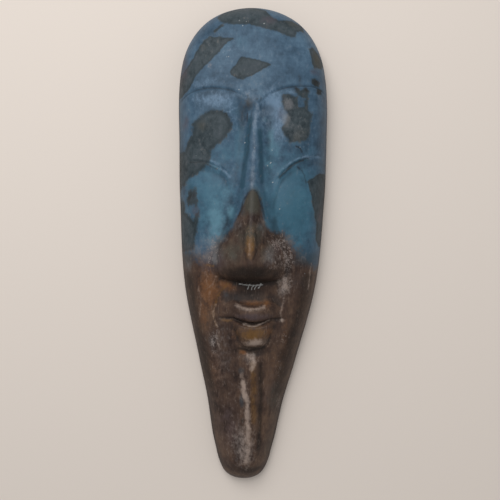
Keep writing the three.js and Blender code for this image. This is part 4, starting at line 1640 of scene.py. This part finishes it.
@dataclass(frozen=True)
class PaintedTerracotta:
    """Cold-painted terracotta: low-fired clay, brushed with blue and with dark bronze brown paint.

    The eye sees a satin film, not a glaze: broad soft sheen, faint brush streaks along and across,
    a dark ground coat where the blue is missing, copper where the brown is rubbed, and pale scuffs
    of clay dust on the high places. Light and shade are painted in as well: a painted sheen in the
    sockets, painted highlights on the lid rolls and on the nose's crest and tip, and painted shade in
    the creases, under the nose and the lower lip, on shaded flanks and along the outline. The paint
    ends raggedly on the back rim. Inside, the clay is bare and matt. The grit is drawn two or three
    times as coarse as it is, so that it shows.
    """

    grains: dict[str, Grain] = field(default_factory=lambda: {
        "cloud": Grain(38, 50, 3, 0.5),
        "mottle": Grain(9, 11, 6, 0.62),
        "fray": Grain(3.4, 5, 6, 0.7),
        "speck": Grain(1.8, 1.8, 3, 0.6),
        "streak": Grain(2.6, 26, 5, 0.6),
        "brush": Grain(26, 3, 5, 0.62),
        "scratch": Grain(0.9, 15, 2, 0.5),
        "grit": Grain(0.7, 0.7, 2, 0.6)})
    tones: dict[str, Tone] = field(default_factory=lambda: {
        "blue": Tone(("#2b4051", "#3b5367", "#4c6579"),
                     {"cloud": 0.34, "mottle": 0.34, "brush": 0.1, "fray": 0.22}),
        "ground": Tone(("#232d32", "#374146", "#424a50"), {"mottle": 0.45, "fray": 0.35, "cloud": 0.2}),
        "brown": Tone(("#281c18", "#413129", "#5a4638"),
                      {"cloud": 0.35, "mottle": 0.35, "streak": 0.15, "fray": 0.15}),
        "clay": Tone(("#63402f", "#8a5b44", "#a67a5f"),
                     {"cloud": 0.34, "mottle": 0.3, "fray": 0.16, "speck": 0.2})})
    coats: tuple[Coat, ...] = (
        Coat("teal", "mottle", 1.2, 0.1, 1.1, "#366375", 0.5, 0.0, 0.7),
        Coat("aqua", "mottle", 1.4, 0.2, 1.2, "#5f8898", 0.5, 0.0, 0.7),
        # Pale blue-grey paint, with a painted sheen in the sockets and painted highlights on the lid rolls
        # and the nose's crest.
        Coat("pale", "fray", 1.4, 0.2, 1.2, "#6f88a0", 0.5, 0.0, 0.75),
        # Deep blue-green painted shade in hollows and creases and on the side walls.
        Coat("deep", "mottle", 1.0, 0.1, 1.1, "#1d3c4b", 0.5, 0.0, 0.75),
        Coat("bare_depth", "fray", 5.0, -0.9, 0.9, "ground", 0.6, -0.16),
        Coat("bare_edge", "fray", 1.6, 0.3, 1.1, "#1c272c", 0.6, 0.0, 0.45),
        Coat("brown", "fray", 1.1, 0.1, 0.9, "brown", 0.5, -0.05),
        Coat("slate", "mottle", 1.2, 0.3, 1.0, "#2d383f", 0.5, 0.0, 0.7),
        Coat("violet", "mottle", 1.4, 0.2, 1.1, "#443c43", 0.55, 0.0, 0.7),
        Coat("olive", "mottle", 1.2, 0.2, 1.0, "#3c3c35", 0.5, 0.0, 0.85),
        # Painted shade: darkens the creases, where the relief lies below the ground round it.
        Coat("crease", "mottle", 0.2, -0.12, -0.8, "#12171a", 0.7, 0.0, 0.45),
        # Grey haze, on the nose's crest partly a painted highlight.
        Coat("haze", "fray", 1.6, 0.15, 1.25, "#77787a", 0.65, 0.0, 0.5),
        # Rubbed copper, on the nose's back partly a painted highlight.
        Coat("copper", "fray", 1.5, 0.2, 1.3, "#704a2c", 0.45, 0.0, 0.8),
        Coat("gold", "fray", 1.5, 0.2, 1.2, "#64461f", 0.45, 0.0, 0.8),
        # Dark brown: paint spots, and painted shade under the nose and the lower lip, in creases and on
        # shaded flanks.
        Coat("dark", "fray", 1.4, 0.2, 1.1, "#140d09", 0.6, 0.0, 0.8),
        # Pale scuffs of worn paint, and a painted highlight on the tip of the nose.
        Coat("scuff", "fray", 1.9, 0.1, 1.35, "#a08f84", 0.7, 0.04, 0.8),
        Coat("crust", "speck", 3.4, 0.8, 1.5, "#938781", 0.85, 0.1, 0.5),
        Coat("crust", "ring", 1.0, 1.78, 2.3, "#8f8580", 0.85, 0.06, 0.42),
        Coat("brown", "scratch", 4.0, 1.55, 1.9, "#8b7b70", 0.7, 0.0, 0.3),
        Coat("chalk", "grit", 1.0, 0.35, 1.0, "#bcbdbc", 0.85, 0.04, 0.8),
        Coat("painted", "fleck", 1.0, 1.34, 1.44, "#a3abb0", 0.8, 0.02, 0.7),
        # Painted shade along the outline, where the edge turns down to the back.
        Coat("rim", "fray", 1.2, 0.2, 1.0, "#241c19", 0.7, 0.0, 0.6),
    )
    ramp_places: tuple[float, float, float] = (0.4, 0.5, 0.6)
    fleck_spacing: float = 8.0
    fleck_fall: float = 2.0
    ring_spacing: float = 4.5
    ring_radius: float = 0.3
    ring_fall: float = 5.0
    ring_fray: float = 2.2
    paint_end: Ramp = Ramp(1.2, 1.4)
    paint_end_fray: float = 1.4
    paint_roughness: float = 0.5
    clay_roughness: float = 0.85
    specular: float = 0.2
    relief: dict[str, float] = field(default_factory=lambda: {"streak": 0.03, "grit": 0.03})

    def patterns(self, tree: bpy.types.NodeTree) -> dict[str, bpy.types.NodeSocket]:
        """Adds the random patterns: a noise for each grain, and two kinds of cells.

        A fleck is the middle of a cell, by the cell's own chance less the distance from its middle.
        A ring is a circle in a cell, 1 less the distance from the circle, broken up by the fray.

        Args:
            tree: The material's node tree.

        Returns:
            Each pattern's socket by its name.
        """
        place = add_node(tree, "TexCoord").outputs["Object"]
        made = {}
        for name, grain in self.grains.items():
            across, along = 1 / (grain.size * MM), 1 / (grain.size_along * MM)
            scaled = add_node(tree, "Mapping", {"Vector": place, "Scale": (across, along, across)})
            made[name] = add_node(tree, "TexNoise", {
                "Vector": scaled.outputs[0], "Scale": 1.0, "Detail": grain.detail,
                "Roughness": grain.roughness}).outputs[0]
        cells = {}
        for name, spacing in (("fleck", self.fleck_spacing), ("ring", self.ring_spacing)):
            scaled = add_node(tree, "VectorMath", {0: place, "Scale": 1 / (spacing * MM)},
                              operation="SCALE")
            cells[name] = add_node(tree, "TexVoronoi", {"Vector": scaled.outputs[0], "Scale": 1.0})
        chance = add_node(tree, "SeparateColor", {0: cells["fleck"].outputs["Color"]}).outputs[0]
        made["fleck"] = add_node(tree, "Math", {
            0: cells["fleck"].outputs["Distance"], 1: -self.fleck_fall, 2: chance},
            operation="MULTIPLY_ADD").outputs[0]
        past_ring = add_node(tree, "Math", {
            0: cells["ring"].outputs["Distance"], 1: self.ring_radius}, operation="SUBTRACT")
        off_ring = add_node(tree, "Math", {0: past_ring.outputs[0]}, operation="ABSOLUTE")
        rings = add_node(tree, "Math", {
            0: off_ring.outputs[0], 1: -self.ring_fall, 2: 1.0}, operation="MULTIPLY_ADD")
        made["ring"] = add_node(tree, "Math", {
            0: made["fray"], 1: self.ring_fray, 2: rings.outputs[0]}, operation="MULTIPLY_ADD").outputs[0]
        return made

    def mixed_tones(self, tree: bpy.types.NodeTree,
                    patterns: dict[str, bpy.types.NodeSocket]) -> dict[str, bpy.types.NodeSocket]:
        """Adds each tone: the weighted sum of its patterns, turned to its three colours.

        Args:
            tree: The material's node tree.
            patterns: The random patterns' sockets.

        Returns:
            Each tone's colour socket by its name.
        """
        made = {}
        for name, tone in self.tones.items():
            total = 0.0
            for pattern, weight in tone.weights.items():
                total = add_node(tree, "Math", {0: patterns[pattern], 1: weight, 2: total},
                                 operation="MULTIPLY_ADD").outputs[0]
            ramp = add_node(tree, "ValToRGB", {0: total})
            stops = ramp.color_ramp.elements
            stops.new(self.ramp_places[1])
            for stop, position, colour in zip(stops, self.ramp_places, tone.colours):
                stop.position = position
                stop.color = linear(colour)
            made[name] = ramp.outputs[0]
        return made

    def lay(self, tree: bpy.types.NodeTree, over: Film, under: Film, value: bpy.types.NodeSocket,
            ends: Ramp, cover: float = 1.0) -> Film:
        """Adds the nodes that lay one film over another.

        The upper film's share rises smoothly from 0 to the cover as a value passes from one end to
        the other. Colour and roughness are mixed by it, and the upper height times it is added. A
        Mix node's sockets go by number, because several of them share a name.

        Args:
            tree: The material's node tree.
            over: The upper film.
            under: The lower film.
            value: What decides where the upper film lies.
            ends: Where its share starts and stops rising.
            cover: Its largest share.

        Returns:
            What shows of the two.
        """
        share = add_node(tree, "MapRange", {0: value, 1: ends.low, 2: ends.high, 3: 0.0, 4: cover},
                         interpolation_type="SMOOTHSTEP").outputs[0]
        colour = add_node(tree, "Mix", {0: share, 6: under.colour, 7: over.colour}, data_type="RGBA")
        roughness = add_node(tree, "Mix", {0: share, 2: under.roughness, 3: over.roughness},
                             data_type="FLOAT")
        height = add_node(tree, "Math", {0: share, 1: over.height, 2: under.height},
                          operation="MULTIPLY_ADD")
        return Film(colour.outputs[2], roughness.outputs[0], height.outputs[0])

    def material(self) -> bpy.types.Material:
        """The whole finish as one material, which reads the mesh's named values.

        The coats lie on the blue in their order, each where its value, moved by its pattern, has
        passed into its range. Below the paint's end, which a pattern frays, the clay is bare.

        Returns:
            The material.
        """
        made = bpy.data.materials.new("painted_terracotta")
        made.use_nodes = True
        tree = made.node_tree
        tree.nodes.clear()
        patterns = self.patterns(tree)
        tones = self.mixed_tones(tree, patterns)
        shown = Film(tones["blue"], self.paint_roughness)
        for coat in self.coats:
            value = add_node(tree, "Attribute", attribute_name=coat.value).outputs["Fac"]
            centred = add_node(tree, "Math", {0: patterns[coat.grain], 1: 0.5}, operation="SUBTRACT")
            moved = add_node(tree, "Math", {0: centred.outputs[0], 1: coat.amount, 2: value},
                             operation="MULTIPLY_ADD")
            colour = tones[coat.colour] if coat.colour in tones else linear(coat.colour)
            film = Film(colour, coat.roughness, coat.height)
            shown = self.lay(tree, film, shown, moved.outputs[0], Ramp(coat.low, coat.high), coat.cover)
        painted = add_node(tree, "Attribute", attribute_name="painted").outputs["Fac"]
        frayed = add_node(tree, "Math", {0: patterns["fray"], 1: self.paint_end_fray, 2: painted},
                          operation="MULTIPLY_ADD")
        bare = Film(tones["clay"], self.clay_roughness)
        shown = self.lay(tree, shown, bare, frayed.outputs[0], self.paint_end)
        height = shown.height
        for pattern, depth in self.relief.items():
            height = add_node(tree, "Math", {0: patterns[pattern], 1: depth, 2: height},
                              operation="MULTIPLY_ADD").outputs[0]
        bump = add_node(tree, "Bump", {"Height": height, "Distance": MM, "Strength": 1.0})
        shader = add_node(tree, "BsdfPrincipled", {
            "Base Color": shown.colour, "Roughness": shown.roughness,
            "Specular IOR Level": self.specular, "Normal": bump.outputs[0]})
        add_node(tree, "OutputMaterial", {"Surface": shader.outputs[0]})
        return made


@dataclass(frozen=True)
class Mask:
    """The finished mask: the clay shell with its paint."""

    shell: MaskShell
    paint: PaintLayout = PaintLayout()
    finish: PaintedTerracotta = PaintedTerracotta()
    rim_shade_width: float = 3.5

    def mesh(self) -> bpy.types.Mesh:
        """The shell as a mesh in metres, with its flat map and its named values.

        Returns:
            The mesh.
        """
        skin = self.shell.build()
        points = np.stack([skin.of(name) for name in "xyz"], axis=1) * MM
        corners = np.concatenate([faces.ravel() for faces in skin.faces])
        sizes = np.concatenate([np.full(len(faces), faces.shape[1]) for faces in skin.faces])
        mesh = bpy.data.meshes.new("mask_shell")
        mesh.vertices.add(len(points))
        mesh.vertices.foreach_set("co", points.ravel().astype(np.float32))
        mesh.loops.add(len(corners))
        mesh.loops.foreach_set("vertex_index", corners.astype(np.int32))
        mesh.polygons.add(len(sizes))
        starts = np.concatenate([[0], np.cumsum(sizes)[:-1]])
        mesh.polygons.foreach_set("loop_start", starts.astype(np.int32))
        mesh.update(calc_edges=True)
        mesh.shade_smooth()
        front_map, back_map = self.shell.maps(skin)
        shown = np.repeat(np.concatenate(skin.front), sizes)
        places = np.where(shown[:, None], front_map[corners], back_map[corners])
        layer = mesh.uv_layers.new(name="OFBake")
        layer.data.foreach_set("uv", places.ravel().astype(np.float32))
        values = self.paint.values(skin.of("x"), skin.of("y"))
        # The rim value marks a narrow band along the outline, which the rim coat darkens as painted shade.
        values |= {"painted": skin.of("painted"), "crease": skin.of("crease"),
                   "rim": bell(skin.of("depth"), self.rim_shade_width)}
        for name, value in values.items():
            made = mesh.attributes.new(name, "FLOAT", "POINT")
            made.data.foreach_set("value", value.astype(np.float32))
        return mesh

    def build(self) -> bpy.types.Object:
        """Makes the mask, dresses it and puts it in place of the CAD node.

        Returns:
            The mask's object.
        """
        piece = bpy.data.objects.new("mask_shell", self.mesh())
        bpy.context.scene.collection.objects.link(piece)
        piece.data.materials.append(self.finish.material())
        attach(piece, "root")
        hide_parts("mask")
        return piece


@dataclass(frozen=True)
class Studio:
    """A plain pale floor under a soft light from beyond the crown."""

    floor_size: float = 40.0
    floor_colour: str = "#dad0c7"
    floor_roughness: float = 0.95
    floor_specular: float = 0.1
    room_light: float = 0.5
    lamp_place: tuple[float, float, float] = (-0.28, 0.7, 1.12)
    lamp_size: float = 0.9
    lamp_power: float = 12.0

    def floor(self) -> bpy.types.Object:
        """Makes the square floor of matt paper.

        Returns:
            The floor's object.
        """
        half = self.floor_size / 2
        mesh = bpy.data.meshes.new("floor")
        mesh.from_pydata([(-half, -half, 0), (half, -half, 0), (half, half, 0), (-half, half, 0)],
                         [], [(0, 1, 2, 3)])
        made = bpy.data.objects.new("floor", mesh)
        bpy.context.scene.collection.objects.link(made)
        paper = bpy.data.materials.new("matt_paper")
        paper.use_nodes = True
        shader = paper.node_tree.nodes["Principled BSDF"]
        shader.inputs["Base Color"].default_value = linear(self.floor_colour)
        shader.inputs["Roughness"].default_value = self.floor_roughness
        shader.inputs["Specular IOR Level"].default_value = self.floor_specular
        mesh.materials.append(paper)
        return made

    def lamp(self) -> bpy.types.Object:
        """Makes the square lamp, turned to face the origin.

        Returns:
            The lamp's object.
        """
        light = bpy.data.lights.new("soft_lamp", "AREA")
        light.size = self.lamp_size
        light.energy = self.lamp_power
        made = bpy.data.objects.new("soft_lamp", light)
        made.location = self.lamp_place
        x, y, z = self.lamp_place
        made.rotation_euler = (0, math.atan2(math.hypot(x, y), z), math.atan2(y, x))
        bpy.context.scene.collection.objects.link(made)
        return made

    def build(self) -> None:
        """Makes the floor, the lamp and the room's even light, and sets how colours are shown."""
        self.floor()
        self.lamp()
        world = bpy.data.worlds.new("room")
        world.use_nodes = True
        world.node_tree.nodes["Background"].inputs["Color"].default_value = (1, 1, 1, 1)
        world.node_tree.nodes["Background"].inputs["Strength"].default_value = self.room_light
        bpy.context.scene.world = world
        bpy.context.scene.view_settings.view_transform = "Standard"


@dataclass(frozen=True)
class Viewpoint:
    """The camera straight above the mask, turned a little, as the mask was photographed."""

    x: float = -0.12 * MM
    y: float = -6.3 * MM
    height: float = 650 * MM
    turn: float = 1.2
    lens: float = 43.33

    def build(self) -> None:
        """Makes the camera, looking straight down."""
        camera = bpy.data.cameras.new("camera")
        camera.lens = self.lens
        placed = bpy.data.objects.new("camera", camera)
        placed.location = (self.x, self.y, self.height)
        placed.rotation_euler = (0, 0, math.radians(self.turn))
        bpy.context.scene.collection.objects.link(placed)
        bpy.context.scene.camera = placed


def main() -> None:
    """Builds the camera, the studio and the mask, and reports each."""
    logging.basicConfig(level=logging.INFO, format="%(name)s: %(message)s")
    Viewpoint().build()
    LOG.info("camera: straight above")
    Studio().build()
    LOG.info("studio: floor and lamp")
    shell = MaskShell(Hollow(Face(LargeForm(Outline()))))
    piece = Mask(shell).build()
    LOG.info("%s: %d points, %d faces", piece.name, len(piece.data.vertices), len(piece.data.polygons))


if __name__ == "__main__":
    main()
